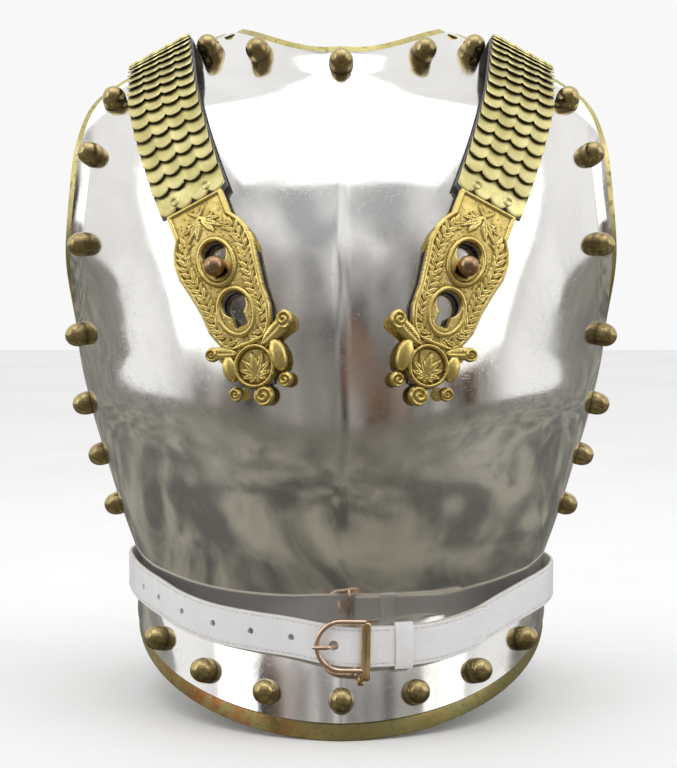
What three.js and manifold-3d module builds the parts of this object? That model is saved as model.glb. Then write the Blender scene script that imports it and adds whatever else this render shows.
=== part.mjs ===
// Cuirass: a polished steel breast plate and back plate, edged with brass strip and domed brass
// rivets, joined by two brass scale shoulder straps that hook on studs and by a leather waist belt.
// Millimetres, +Z up, the front of the cuirass faces -Y. It stands on its lower rims at Z = 0.

import * as THREE from 'three';
import Module from 'manifold-3d';

const wasm = await Module();
wasm.setup();

// ---------------------------------------------------------------- driving dimensions

const STEEL = 1.6;             // thickness of both steel plates
const GAP = 0.3;               // air left between touching pieces
const EDGE_BRASS = 1.2;        // thickness of the brass edging strip
const BAND_GAP = 1;            // steel to edging strip
const EDGE_LAP = 6;            // how far the strip reaches in behind the steel
const EDGE_SHOW = 4.5;         // how far it shows past the steel at neck, armholes and sides
const RIM_SHOW = 10;           // how far it shows past the steel along the lower rim
const FLARE_WIDTH = 18;        // width of the turned-out margin at neck and armholes
const FLARE_HEIGHT = 4.5;      // how far that margin stands out at its edge
const RIDGE_SLOPE = 0.087;     // half angle of the central ridge of the breast plate
const COLUMN_CROWDING = 1.45;  // how much closer the grid's columns stand near the edges
const RIVET_RADIUS = 7.75;
const RIVET_HEIGHT = 11.5;
const RIVET_SHANK = 3;
const RIVET_INSET = 11;        // rivet centre to the steel edge at neck, armholes and sides
const RIM_RIVET_INSET = 13;    // rivet centre to the steel edge along the lower rim
const FACET_SLACK = 0.7;       // extra lift of a rivet head over the facets of the plate
const STRAP_HALF = 23.2;       // half width of the shoulder strap's leather
const STRAP_LEATHER = 3;
const STRAP_CLEAR = 1.2;       // leather to steel
const STRAP_END = 413;         // length of the strap from the tip of its cast plate
const ROUTE_STEPS = 400;
const CAST_LENGTH = 134;
const CAST_BASE = 2.4;         // thickness of the cast end plate without its relief
const KEYHOLES = [58.6, 92.2]; // centres of the two oval frames, from the tip
const KEYHOLE_ROUND = 7.6;
const KEYHOLE_SLOT = 7.4;
const MEDALLION = 24;          // centre of the round medallion, from the tip
const STAR = 123.5;            // centre of the star, from the tip
const SCALES_START = 134.4;
const SCALE_HALF = 22.6;
const SCALE_FIRST = 13.8;      // length of the first, flat row of scales
const SCALE_PITCH = 10.4;
const SCALE_SHEET = 0.9;
const SCALE_GAP = 0.5;         // scales to leather
const SCALE_RISE = 1.7;        // how far the free edge of a scale stands above its root
const SCALLOP_DEPTH = 3.2;
const SCALE_ROOT = 3.7;        // from the tips of a row to its root on the leather
const SCALE_ROOT_GAP = 2.2;    // between one stretch and the root of the next
const SCALLOPS = 4;
const STRETCHES = 5;
const ROWS_PER_STRETCH = 5;
const STUD_RADIUS = 6.35;
const BELT_WIDTH = 24;
const BELT_LEATHER = 2;
const KEEPER_LEATHER = 1.2;
const KEEPER_ANGLES = [12.9, 17.6];
const KEEPER_INSIDE = [1.25, 6.5]; // its inner faces, measured off the waist
const CENTRE_SHIFT = 23.3;     // moves the middle of the whole object to y = 0
const WAIST_MIDDLE = -24;      // y of the middle of the waist
const BELT_Z = 55;             // height of the belt's centre line at the buckle
// Holes of the belt by their angle round the waist; the prong is in the first.
const BELT_HOLES = [358.2, 347.5, 336.2, 324.2, 312, 300, 289];
const PRONG_HOLE = 3;          // radius of the hole that the prong fills
const BELT_HOLE = 2;
const BELT_TIP = [[398, 11.9], [399.8, 10.2], [401.1, 7], [401.8, 3]]; // angle, half width
const WIRE = 1.5;              // radius of the buckle's wire
const BUCKLE_HEIGHT = 29;      // between the centres of its wires
const BUCKLE_ARC_X = 0;        // centre of its round side
const BUCKLE_BAR_X = 14.7;
const BUCKLE_BAR_WIDE = 5.6;
const BUCKLE_BAR_Z = 52;
const BUCKLE_BAR_LONG = 35;
const BUCKLE_LEFT_Y = -170.1;
const BUCKLE_RIGHT_Y = -171.8;
const BAR_X = 8;               // the hidden centre bar
const BAR_Y = -165;
const BAR_RADIUS = 1.3;

// ---------------------------------------------------------------- colours

const metal = (color, roughness) => () => new THREE.MeshStandardMaterial({ color, roughness, metalness: 1 });
const hide = (color, roughness) => () => new THREE.MeshStandardMaterial({ color, roughness, metalness: 0 });

const polishedSteel = metal(0xc9cbc9, 0.08);
const edgeBrass = metal(0xb9a24a, 0.3);
const rivetBrass = metal(0x8d7738, 0.3);
const scaleBrass = metal(0xc9bd62, 0.35);
const castBrass = metal(0xd6b84a, 0.38);
const buckleGold = metal(0xd9b08a, 0.15);
const greyLeather = hide(0x6f6a70, 0.8);
const whiteLeather = hide(0xf1efec, 0.5);

// ---------------------------------------------------------------- tables

// Names the columns of a short table.
function table(columns, rows) {
  return rows.map((row) => Object.fromEntries(columns.map((column, i) => [column, row[i]])));
}

// Each row is one section of a plate, from the centre line to the edge, as a Bezier curve.
// zc, yc: the centre line. pc: pull of the curve at the centre. xe, ye, ze: the edge.
// pe, lean: pull and direction of the curve at the edge, seen from above.
// flat: share of the section that stays at the height zc. drop: how much lower the curve comes in.
const SECTION = ['zc', 'yc', 'pc', 'xe', 'ye', 'ze', 'pe', 'lean', 'flat', 'drop'];

const BREAST_SECTIONS = table(SECTION, [
  [10, -174.5, 76, 138.5, 4, 60, 98, 90, 0, 27],        // lower rim
  [38, -163.5, 75, 137.5, 4, 70, 95, 90, 0, 15],
  [58, -154, 74, 136.8, 4, 78, 92, 90, 0, 10],
  [66, -151, 74, 136.5, 4, 84, 90, 90, 0, 9],           // waist crease
  [74, -152.5, 74, 137.5, 4, 90, 90, 90, 0, 8],
  [88, -158.5, 76, 141, 3, 100, 92, 90, 0, 6],
  [112, -165, 80, 148, 2, 119, 94, 90, 0, 3],
  [150, -171, 87, 158.5, 0, 152, 94, 89, 0, 0],
  [190, -171.5, 93, 169.5, -8, 189, 90, 84, 0, 0],
  [228, -168, 96, 174, -30, 226, 76, 68, 0, 0],         // armpit
  [262, -161, 97, 172.5, -50, 260, 62, 57, 0, 0],
  [296, -151, 94, 171, -61, 294, 54, 51, 0, 0],
  [330, -136.5, 88, 168, -62, 328, 50, 49, 0, 0],       // deepest point of the armhole
  [358, -121, 78, 165, -55, 357, 48, 48, 0, 0],
  [380, -107, 66, 158, -42, 381, 46, 48, 0, 2],
  [393, -97, 52, 144, -25, 397, 42, 49, 0, 4],          // outer corner of the shoulder
  [403, -88, 38, 112, -6, 418, 40, 51, 0, 6],
  [412.5, -77, 26, 72, -10, 434, 30, 58, 0.1, 2],       // neckline
]);

const BACK_SECTIONS = table(SECTION, [
  [10, 127, 90, 133.5, -8, 60, 60, -90, 0.5, 20],       // lower rim, flat over its middle half
  [36, 118, 88, 132.5, -8, 70, 57, -90, 0.3, 10],
  [60, 106, 86, 131.8, -8, 79, 54, -90, 0.1, 8],
  [70, 103, 86, 131.5, -8, 85, 52, -90, 0, 6],          // waist crease
  [80, 104.5, 86, 132.4, -8, 91, 52, -90, 0, 5],
  [96, 109, 88, 136, -9, 101, 54, -90, 0, 3],
  [124, 116, 92, 144, -10, 124, 58, -90, 0, 0],
  [158, 123, 97, 154.2, -12, 158, 64, -90, 0, 0],
  [192, 128, 102, 163, -20, 192, 70, -93, 0, 0],
  [228, 131, 106, 171, -18, 228, 66, -92, 0, 0],        // armpit
  [262, 132, 106, 171.5, 4, 262, 58, -88, 0, 0],
  [296, 130, 102, 168, 28, 296, 54, -80, 0, 0],
  [330, 124, 94, 162, 40, 330, 46, -72, 0, 0],
  [358, 115, 84, 154, 42, 358, 40, -64, 0, 0],
  [378, 106, 66, 141, 36, 386, 38, -58, 0, 2],          // outer corner of the shoulder
  [390, 100, 48, 112, 42, 400, 34, -52, 0, 4],
  [401, 93, 34, 78, 54, 406, 26, -46, 0, 2],            // neckline
]);

// ---------------------------------------------------------------- plate surfaces

function catmull(a, b, c, d, f) {
  return b + 0.5 * f * (c - a + f * (2 * a - 5 * b + 4 * c - d + f * (3 * (b - c) + d - a)));
}

function bezier(a, b, c, d, f) {
  const g = 1 - f;
  return g * g * g * a + 3 * g * g * f * b + 3 * g * f * f * c + f * f * f * d;
}

// The section of a plate at height parameter t, 0 at the rim and 1 at the neckline.
function sectionAt(sections, t) {
  const last = sections.length - 1;
  const place = Math.min(Math.max(t, 0), 1) * last;
  const i = Math.min(Math.floor(place), last - 1);
  const around = [i - 1, i, i + 1, i + 2].map((k) => sections[Math.min(Math.max(k, 0), last)]);
  const [a, b, c, d] = around;
  const at = (name) => catmull(a[name], b[name], c[name], d[name], place - i);
  return Object.fromEntries(SECTION.map((name) => [name, at(name)]));
}

// A point of the plate before its margin is turned out; side runs from -1 to 1.
function basePoint(plate, side, t) {
  const row = sectionAt(plate.sections, t);
  const s = Math.abs(side);
  const lean = THREE.MathUtils.degToRad(row.lean);
  const x = bezier(0, row.pc, row.xe - row.pe * Math.cos(lean), row.xe, s);
  const ridge = row.yc + plate.ridge * row.pc;
  const y = bezier(row.yc, ridge, row.ye - row.pe * Math.sin(lean), row.ye, s);
  const rise = Math.max(0, (s - row.flat) / (1 - row.flat));
  const z = bezier(row.zc, row.zc, row.ze - row.drop, row.ze, rise);
  return new THREE.Vector3(Math.sign(side) * x, y, z);
}

// Outward normal of the base surface.
function baseNormal(plate, side, t) {
  const h = 0.004;
  const s0 = Math.max(side - h, -1);
  const s1 = Math.min(side + h, 1);
  const t0 = Math.max(t - h, 0);
  const t1 = Math.min(t + h, 1);
  const across = basePoint(plate, s1, t).sub(basePoint(plate, s0, t));
  const up = basePoint(plate, side, t1).sub(basePoint(plate, side, t0));
  return across.cross(up).normalize().multiplyScalar(plate.facing);
}

// How far the margin is turned out at a place on the plate.
function flareAt(plate, side, t) {
  const rows = plate.sections.length - 1;
  const above = (t * rows - plate.armpit) / 2;
  const fade = THREE.MathUtils.smoothstep(above, 0, 1);
  const toSide = (1 - Math.abs(side)) * THREE.MathUtils.lerp(240, 105, Math.max(0, t * 4 - 3));
  const toNeck = (1 - t) * rows * (14 + 28 * side * side);
  const fromSide = fade * Math.max(0, 1 - toSide / FLARE_WIDTH) ** 1.6;
  const fromNeck = Math.max(0, 1 - toNeck / FLARE_WIDTH) ** 1.6;
  return FLARE_HEIGHT * Math.max(fromSide, fromNeck);
}

function platePoint(plate, side, t) {
  const point = basePoint(plate, side, t);
  return point.addScaledVector(baseNormal(plate, side, t), flareAt(plate, side, t));
}

function plateNormal(plate, side, t) {
  const h = 0.004;
  const s0 = Math.max(side - h, -1);
  const s1 = Math.min(side + h, 1);
  const t0 = Math.max(t - h, 0);
  const t1 = Math.min(t + h, 1);
  const across = platePoint(plate, s1, t).sub(platePoint(plate, s0, t));
  const up = platePoint(plate, side, t1).sub(platePoint(plate, side, t0));
  return across.cross(up).normalize().multiplyScalar(plate.facing);
}

const BREAST = { sections: BREAST_SECTIONS, ridge: RIDGE_SLOPE, facing: 1, armpit: 9, columns: 16 };
const BACK = { sections: BACK_SECTIONS, ridge: 0, facing: -1, armpit: 9, columns: 14 };

// Finds the place on a plate with the given x and z, as seen from the front or the back.
function placeAt(plate, x, z) {
  const solve = (value, target, low, high) => {
    let a = low;
    let b = high;
    for (let i = 0; i < 30; i += 1) {
      const mid = (a + b) / 2;
      if (value(mid) < target) a = mid;
      else b = mid;
    }
    return (a + b) / 2;
  };
  let side = 0.5;
  let t = 0.5;
  for (let i = 0; i < 12; i += 1) {
    t = solve((v) => platePoint(plate, side, v).z, z, 0, 1);
    side = solve((v) => platePoint(plate, v, t).x, Math.abs(x), 0, 1);
  }
  return { side: side * Math.sign(x || 1), t };
}

// ---------------------------------------------------------------- solids

// A closed geometry from points and triangles, turned so that its faces point out.
function closed(points, triangles) {
  let volume = 0;
  for (const [a, b, c] of triangles) {
    volume += points[a].dot(new THREE.Vector3().crossVectors(points[b], points[c]));
  }
  const faces = volume < 0 ? triangles.map(([a, b, c]) => [a, c, b]) : triangles;
  const geometry = new THREE.BufferGeometry();
  geometry.setAttribute('position', new THREE.Float32BufferAttribute(points.flatMap((p) => p.toArray()), 3));
  geometry.setIndex(faces.flat());
  geometry.computeVertexNormals();
  return geometry;
}

// Joins a row of like sections into a solid: a ring when it loops, else capped at both ends.
function loft(sections, loops = false) {
  const n = sections[0].length;
  const points = sections.flat();
  const triangles = [];
  const spans = loops ? sections.length : sections.length - 1;
  for (let i = 0; i < spans; i += 1) {
    const here = i * n;
    const next = ((i + 1) % sections.length) * n;
    for (let k = 0; k < n; k += 1) {
      const m = (k + 1) % n;
      triangles.push([here + k, here + m, next + m], [here + k, next + m, next + k]);
    }
  }
  if (!loops) {
    const end = (sections.length - 1) * n;
    for (let k = 1; k < n - 1; k += 1) {
      triangles.push([0, k + 1, k], [end, end + k, end + k + 1]);
    }
  }
  return closed(points, triangles);
}

// A solid turned about +Z from a profile of [radius, height] that starts and ends on the axis.
function turned(profile, sides) {
  const points = [new THREE.Vector3(0, 0, profile[0][1])];
  const rings = profile.slice(1, -1);
  for (const [radius, height] of rings) {
    for (let k = 0; k < sides; k += 1) {
      const angle = (2 * Math.PI * k) / sides;
      points.push(new THREE.Vector3(radius * Math.cos(angle), radius * Math.sin(angle), height));
    }
  }
  const top = points.length;
  points.push(new THREE.Vector3(0, 0, profile[profile.length - 1][1]));
  const triangles = [];
  for (let k = 0; k < sides; k += 1) {
    const m = (k + 1) % sides;
    triangles.push([0, 1 + m, 1 + k]);
    for (let i = 0; i < rings.length - 1; i += 1) {
      const low = 1 + i * sides;
      const high = low + sides;
      triangles.push([low + k, low + m, high + m], [low + k, high + m, high + k]);
    }
    const rim = 1 + (rings.length - 1) * sides;
    triangles.push([rim + k, rim + m, top]);
  }
  return closed(points, triangles);
}

function toManifold(geometry) {
  const vertProperties = new Float32Array(geometry.attributes.position.array);
  const triVerts = new Uint32Array(geometry.index.array);
  return new wasm.Manifold(new wasm.Mesh({ numProp: 3, vertProperties, triVerts }));
}

function fromManifold(solid) {
  const { vertProperties, triVerts } = solid.getMesh();
  const geometry = new THREE.BufferGeometry();
  geometry.setAttribute('position', new THREE.BufferAttribute(new Float32Array(vertProperties), 3));
  geometry.setIndex(new THREE.BufferAttribute(new Uint32Array(triVerts), 1));
  geometry.computeVertexNormals();
  return geometry;
}

function joined(geometries, cutters = []) {
  let solid = toManifold(geometries[0]);
  for (const geometry of geometries.slice(1)) solid = solid.add(toManifold(geometry));
  for (const geometry of cutters) solid = solid.subtract(toManifold(geometry));
  return fromManifold(solid);
}

// The same geometry on the other side of the X = 0 plane.
function mirrored(geometry) {
  const copy = geometry.clone();
  copy.scale(-1, 1, 1);
  const index = copy.index.array;
  for (let i = 0; i < index.length; i += 3) [index[i], index[i + 1]] = [index[i + 1], index[i]];
  copy.computeVertexNormals();
  return copy;
}

// ---------------------------------------------------------------- the model

const model = new THREE.Group();

function add(name, geometry, material) {
  const mesh = new THREE.Mesh(geometry, material);
  mesh.name = name;
  model.add(mesh);
  return mesh;
}

// ---------------------------------------------------------------- steel plates

// Heights of the grid rows of a plate: every section, with more rows between ones far apart.
function gridHeights(plate) {
  const last = plate.sections.length - 1;
  const heights = [];
  for (let i = 0; i < last; i += 1) {
    const low = plate.sections[i];
    const high = plate.sections[i + 1];
    const alongEdge = Math.hypot(high.xe - low.xe, high.ye - low.ye, high.ze - low.ze);
    const steps = Math.max(Math.round((high.zc - low.zc) / 30), Math.round(alongEdge / 24), 1);
    for (let k = 0; k < steps; k += 1) heights.push((i + k / steps) / last);
  }
  heights.push(1);
  return heights;
}

// The grid of a plate: outer points and outward normals, a row for each height.
// The columns stand closer together towards the turned-out edges.
function plateGrid(plate) {
  return gridHeights(plate).map((t) => {
    const row = [];
    for (let i = 0; i <= plate.columns; i += 1) {
      const even = (2 * i) / plate.columns - 1;
      const side = Math.sign(even) * (1 - (1 - Math.abs(even)) ** COLUMN_CROWDING);
      row.push({ point: platePoint(plate, side, t), normal: plateNormal(plate, side, t) });
    }
    return row;
  });
}

// The closed border of a grid, with the neighbour that lies one step in from each border point.
function gridBorder(grid) {
  const rows = grid.length - 1;
  const columns = grid[0].length - 1;
  const border = [];
  const put = (r, c, ir, ic, show) => border.push({ ...grid[r][c], next: grid[ir][ic], show });
  for (let c = 0; c < columns; c += 1) put(0, c, 1, Math.max(c, 1), RIM_SHOW);
  for (let r = 0; r < rows; r += 1) put(r, columns, Math.max(r, 1), columns - 1, r ? EDGE_SHOW : RIM_SHOW);
  for (let c = columns; c > 0; c -= 1) put(rows, c, rows - 1, Math.min(c, columns - 1), EDGE_SHOW);
  for (let r = rows; r > 0; r -= 1) put(r, 0, Math.min(r, rows - 1), 1, EDGE_SHOW);
  return border;
}

function plateSolid(grid) {
  const rows = grid.length;
  const columns = grid[0].length;
  const outer = grid.flat().map((g) => g.point.clone());
  const inner = grid.flat().map((g) => g.point.clone().addScaledVector(g.normal, -STEEL));
  const half = outer.length;
  const triangles = [];
  const quad = (a, b, c, d) => triangles.push([a, b, c], [a, c, d]);
  for (let r = 0; r < rows - 1; r += 1) {
    for (let c = 0; c < columns - 1; c += 1) {
      const a = r * columns + c;
      const b = a + columns;
      quad(a, a + 1, b + 1, b);
      quad(half + a, half + b, half + b + 1, half + a + 1);
    }
  }
  const edge = (a, b) => quad(a, half + a, half + b, b);
  for (let c = 0; c < columns - 1; c += 1) {
    edge(c, c + 1);
    edge((rows - 1) * columns + c + 1, (rows - 1) * columns + c);
  }
  for (let r = 0; r < rows - 1; r += 1) {
    edge((r + 1) * columns, r * columns);
    edge(r * columns + columns - 1, (r + 1) * columns + columns - 1);
  }
  return closed([...outer, ...inner], triangles);
}

// The brass strip lies behind the steel edge and shows past it.
function edgeBand(grid) {
  const sections = gridBorder(grid).map(({ point, normal, next, show }) => {
    const edge = point.clone().addScaledVector(normal, -STEEL);
    const further = next.point.clone().addScaledVector(next.normal, -STEEL);
    const out = edge.clone().sub(further).normalize();
    const near = edge.clone().addScaledVector(normal, -BAND_GAP);
    const far = near.clone().addScaledVector(normal, -EDGE_BRASS);
    return [
      near.clone().addScaledVector(out, -EDGE_LAP),
      near.clone().addScaledVector(out, show),
      far.clone().addScaledVector(out, show),
      far.clone().addScaledVector(out, -EDGE_LAP),
    ];
  });
  return joined([loft(sections, true)], [ground()]);
}

// A slab below Z = 0 that cuts the rims level, so that the cuirass stands on them.
function ground() {
  const half = 400;
  const corners = [[-half, -half], [half, -half], [half, half], [-half, half]];
  return loft([-50, 0].map((z) => corners.map(([x, y]) => new THREE.Vector3(x, y, z))));
}

// ---------------------------------------------------------------- rivets

// Profile of a domed rivet: a rounded cone on a short straight foot.
function rivetProfile(rings) {
  const profile = [[0, 0], [RIVET_RADIUS, 0], [RIVET_RADIUS, 1.5]];
  for (let i = 1; i < rings; i += 1) {
    const angle = (i / rings) * (Math.PI / 2);
    const height = 1.5 + (RIVET_HEIGHT - 1.5) * Math.sin(angle) ** 0.9;
    profile.push([RIVET_RADIUS * Math.cos(angle) ** 0.9, height]);
  }
  profile.push([0, RIVET_HEIGHT]);
  return profile;
}

// Moves in from an edge of the plate until the rivet inset is reached.
function insetPlace(plate, side, t, sideStep, tStep, inset = RIVET_INSET) {
  const edge = platePoint(plate, side, t);
  let low = 0;
  let high = 1;
  for (let i = 0; i < 24; i += 1) {
    const mid = (low + high) / 2;
    const reached = platePoint(plate, side + sideStep * mid, t + tStep * mid).distanceTo(edge);
    if (reached < inset) low = mid;
    else high = mid;
  }
  return { side: side + sideStep * high, t: t + tStep * high };
}

// Finds where the side edge of a plate has the height z.
function edgeHeight(plate, z) {
  return placeAtEdge(plate, z, (t) => platePoint(plate, 1, t).z);
}

function placeAtEdge(plate, z, height) {
  let low = 0;
  let high = 1;
  for (let i = 0; i < 30; i += 1) {
    const mid = (low + high) / 2;
    if (height(mid) < z) low = mid;
    else high = mid;
  }
  return (low + high) / 2;
}

// Rivet places: neck and rim ones by their share of the half width, the others by their height.
const BREAST_RIVETS = {
  neck: [-0.54, 0, 0.54],
  sides: [122.5, 156, 190.5, 237, 294.5, 353, 391, 430],
  rim: [-0.62, -0.405, -0.203, 0, 0.203, 0.405, 0.62],
};

const BACK_RIVETS = {
  neck: [-0.5, 0, 0.5],
  sides: [256, 300, 344, 386, 405],
  rim: [-0.7, -0.46, -0.22, 0, 0.22, 0.46, 0.7],
};

function rivetPlaces(plate, rivets) {
  const places = [];
  for (const side of rivets.neck) places.push(insetPlace(plate, side, 1, 0, -0.2));
  for (const way of [-1, 1]) {
    for (const z of rivets.sides) places.push(insetPlace(plate, way, edgeHeight(plate, z), -0.2 * way, 0));
  }
  for (const side of rivets.rim) places.push(insetPlace(plate, side, 0, 0, 0.2, RIM_RIVET_INSET));
  return places;
}

// How far a disc of the rivet's size has to be lifted to clear the plate below it.
function seatLift(plate, side, t) {
  const point = platePoint(plate, side, t);
  const normal = plateNormal(plate, side, t);
  let lift = 0;
  for (let i = -3; i <= 3; i += 1) {
    for (let k = -3; k <= 3; k += 1) {
      const s = Math.min(Math.max(side + i * 0.014, -1), 1);
      const near = platePoint(plate, s, Math.min(Math.max(t + k * 0.014, 0), 1)).sub(point);
      if (near.length() < RIVET_RADIUS + 2) lift = Math.max(lift, near.dot(normal));
    }
  }
  return lift + GAP + FACET_SLACK;
}

// ---------------------------------------------------------------- breast plate

const breastGrid = plateGrid(BREAST);
add('breast_plate', plateSolid(breastGrid), polishedSteel());
add('breast_edge_band', edgeBand(breastGrid), edgeBrass());

rivetPlaces(BREAST, BREAST_RIVETS).forEach(({ side, t }, i) => {
  const normal = plateNormal(BREAST, side, t);
  const name = `breast_rivet_${String(i + 1).padStart(2, '0')}`;
  const rivet = add(name, turned(rivetProfile(2), 8), rivetBrass());
  rivet.position.copy(platePoint(BREAST, side, t)).addScaledVector(normal, seatLift(BREAST, side, t));
  rivet.quaternion.setFromUnitVectors(new THREE.Vector3(0, 0, 1), normal);
});

// ---------------------------------------------------------------- back plate

const backGrid = plateGrid(BACK);
const backRivets = rivetPlaces(BACK, BACK_RIVETS).map(({ side, t }) => {
  const normal = plateNormal(BACK, side, t);
  const lift = seatLift(BACK, side, t);
  const foot = -lift - STEEL * 1.15;
  const rivet = turned([[0, foot], [RIVET_SHANK, foot], [RIVET_SHANK, 0], ...rivetProfile(2).slice(1)], 6);
  rivet.applyQuaternion(new THREE.Quaternion().setFromUnitVectors(new THREE.Vector3(0, 0, 1), normal));
  const seat = platePoint(BACK, side, t).addScaledVector(normal, lift);
  rivet.translate(seat.x, seat.y, seat.z);
  return rivet;
});
add('back_plate', joined([plateSolid(backGrid), ...backRivets]), polishedSteel());
add('back_edge_band', edgeBand(backGrid), edgeBrass());

// ---------------------------------------------------------------- shoulder straps

// The route of the strap: on the breast plate, over the shoulder, and on the back plate.
const STRAP_ON_BREAST = table(['x', 'z', 'lift'], [
  [43.3, 196.5, 0.4], [51.2, 228, 0.4], [66, 266, 0.4], [80.5, 300, 0.6], [97, 341, 0.9], [109.5, 378, 2.5],
]);
const STRAP_OVER = table(['x', 'y', 'z', 'nx', 'ny', 'nz'], [
  [115.5, -51, 404, 0.4, -0.47, 0.79], [118.5, -20, 418, 0.46, -0.25, 0.85],
  [120.3, 12, 423.3, 0.47, 0.06, 0.88], [118.5, 41, 416.5, 0.45, 0.38, 0.81],
  [114.8, 62.5, 402.5, 0.44, 0.58, 0.69],
]);
const STRAP_ON_BACK = table(['x', 'z', 'lift'], [[107.5, 372, 2.2], [102.5, 348, 0.6], [99, 325, 0.4]]);

// Points and outward normals along the route, closely spaced.
function strapRoute() {
  const points = [];
  const normals = [];
  const follow = (plate, stations) => {
    for (const { x, z, lift } of stations) {
      const { side, t } = placeAt(plate, x, z);
      const normal = baseNormal(plate, side, t);
      points.push(platePoint(plate, side, t).addScaledVector(normal, STRAP_CLEAR + lift));
      normals.push(normal);
    }
  };
  follow(BREAST, STRAP_ON_BREAST);
  for (const { x, y, z, nx, ny, nz } of STRAP_OVER) {
    points.push(new THREE.Vector3(x, y, z));
    normals.push(new THREE.Vector3(nx, ny, nz).normalize());
  }
  follow(BACK, STRAP_ON_BACK);
  const route = new THREE.CatmullRomCurve3(points, false, 'centripetal');
  const lean = new THREE.CatmullRomCurve3(normals, false, 'centripetal');
  const samples = [];
  let along = 0;
  for (let i = 0; i <= ROUTE_STEPS; i += 1) {
    const at = i / ROUTE_STEPS;
    const point = route.getPoint(at);
    if (i) along += point.distanceTo(samples[i - 1].point);
    samples.push({ point, along, normal: lean.getPoint(at), forward: route.getTangent(at) });
  }
  return samples;
}

const route = strapRoute();

// Carries a place on the flat strap onto the cuirass: u across, v along from the tip, w outward.
function onStrap(u, v, w) {
  let i = 0;
  while (i < route.length - 2 && route[i + 1].along < v) i += 1;
  const low = route[i];
  const high = route[i + 1];
  const f = (v - low.along) / (high.along - low.along);
  const forward = low.forward.clone().lerp(high.forward, f).normalize();
  const across = forward.clone().cross(low.normal.clone().lerp(high.normal, f)).normalize();
  const normal = across.clone().cross(forward);
  const point = low.point.clone().lerp(high.point, f);
  return point.addScaledVector(across, u).addScaledVector(normal, w);
}

// A flat outline of [u, v] made solid between two heights and carried onto the strap.
function strapPrism(outline, bottom, top) {
  const contour = outline.map(([u, v]) => new THREE.Vector2(u, v));
  if (THREE.ShapeUtils.isClockWise(contour)) contour.reverse();
  const faces = THREE.ShapeUtils.triangulateShape(contour, []);
  const n = contour.length;
  const level = (w) => contour.map((corner) => onStrap(corner.x, corner.y, w));
  const triangles = faces.flatMap(([a, b, c]) => [[a, c, b], [n + a, n + b, n + c]]);
  for (let k = 0; k < n; k += 1) {
    const m = (k + 1) % n;
    triangles.push([k, m, n + m], [k, n + m, n + k]);
  }
  return closed([...level(bottom), ...level(top)], triangles);
}

// A strip of the strap between two heights, with a half width for each station along it.
function strapStrip(stations, bottom, top) {
  return loft(stations.map(({ v, half }) => [
    onStrap(-half, v, bottom), onStrap(half, v, bottom), onStrap(half, v, top), onStrap(-half, v, top),
  ]));
}

function ellipse(u, v, ru, rv, sides) {
  return Array.from({ length: sides }, (_, k) => {
    const angle = (2 * Math.PI * (k + 0.5)) / sides;
    return [u + ru * Math.cos(angle), v + rv * Math.sin(angle)];
  });
}

// A keyhole: a round opening over a narrower slot that holds the neck of the stud.
function keyhole(v, extra) {
  const round = KEYHOLE_ROUND + extra;
  const slot = KEYHOLE_SLOT / 2 + extra;
  const outline = [];
  for (let k = 0; k <= 7; k += 1) {
    const angle = -0.85 + (k * (Math.PI + 1.7)) / 7;
    outline.push([round * Math.cos(angle), v + 4.9 + round * Math.sin(angle)]);
  }
  outline.push([-slot, v - 1.4], [-slot, v - 9.2 - extra], [slot, v - 9.2 - extra], [slot, v - 1.4]);
  return outline;
}

// Half width of the cast end plate along its length, from the tip.
const CAST_OUTLINE = table(['v', 'half'], [
  [36.5, 5], [40, 14], [45, 18], [54, 21.1], [68, 21.8], [83, 24.3], [94, 26.6],
  [103, 26.2], [110, 23.8], [117, 19.5], [CAST_LENGTH, 19.5],
]);

// Laurel leaves on the right half of the cast plate: root and direction of each blade.
const LAUREL = table(['u', 'v', 'turn'], [
  [12.5, 46, 0.8], [16.2, 55, 1.2], [15.4, 64, 1.3], [17, 73, 1], [18.5, 82, 1.2], [19.6, 92, 1.6],
  [18.2, 101, 2],
]);

// Where each row of scales starts along the strap. The first row lies flat and is a little longer.
function rowStart(row) {
  return SCALES_START + (row ? SCALE_FIRST + (row - 1) * SCALE_PITCH : 0);
}

function strapLeather() {
  const stations = [{ v: 12, half: 8 }, { v: 26, half: 9 }];
  for (const { v, half } of CAST_OUTLINE) stations.push({ v, half: half - 0.6 });
  for (let row = 0; row <= STRETCHES * ROWS_PER_STRETCH; row += 1) {
    stations.push({ v: rowStart(row) + SCALE_ROOT, half: STRAP_HALF });
  }
  stations.push({ v: STRAP_END, half: STRAP_HALF });
  const cutters = KEYHOLES.map((v) => strapPrism(keyhole(v, 0.5), -1, STRAP_LEATHER + 1));
  return joined([strapStrip(stations, 0, STRAP_LEATHER)], cutters);
}

// The free edge of a row of scales, across the strap: [u, distance behind the tips].
function scallops() {
  const width = (2 * SCALE_HALF) / SCALLOPS;
  const line = [];
  for (let k = 0; k < SCALLOPS; k += 1) {
    const left = -SCALE_HALF + width * k;
    line.push([left, SCALLOP_DEPTH], [left + width * 0.28, 0], [left + width * 0.72, 0]);
  }
  line.push([SCALE_HALF, SCALLOP_DEPTH]);
  return line;
}

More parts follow.
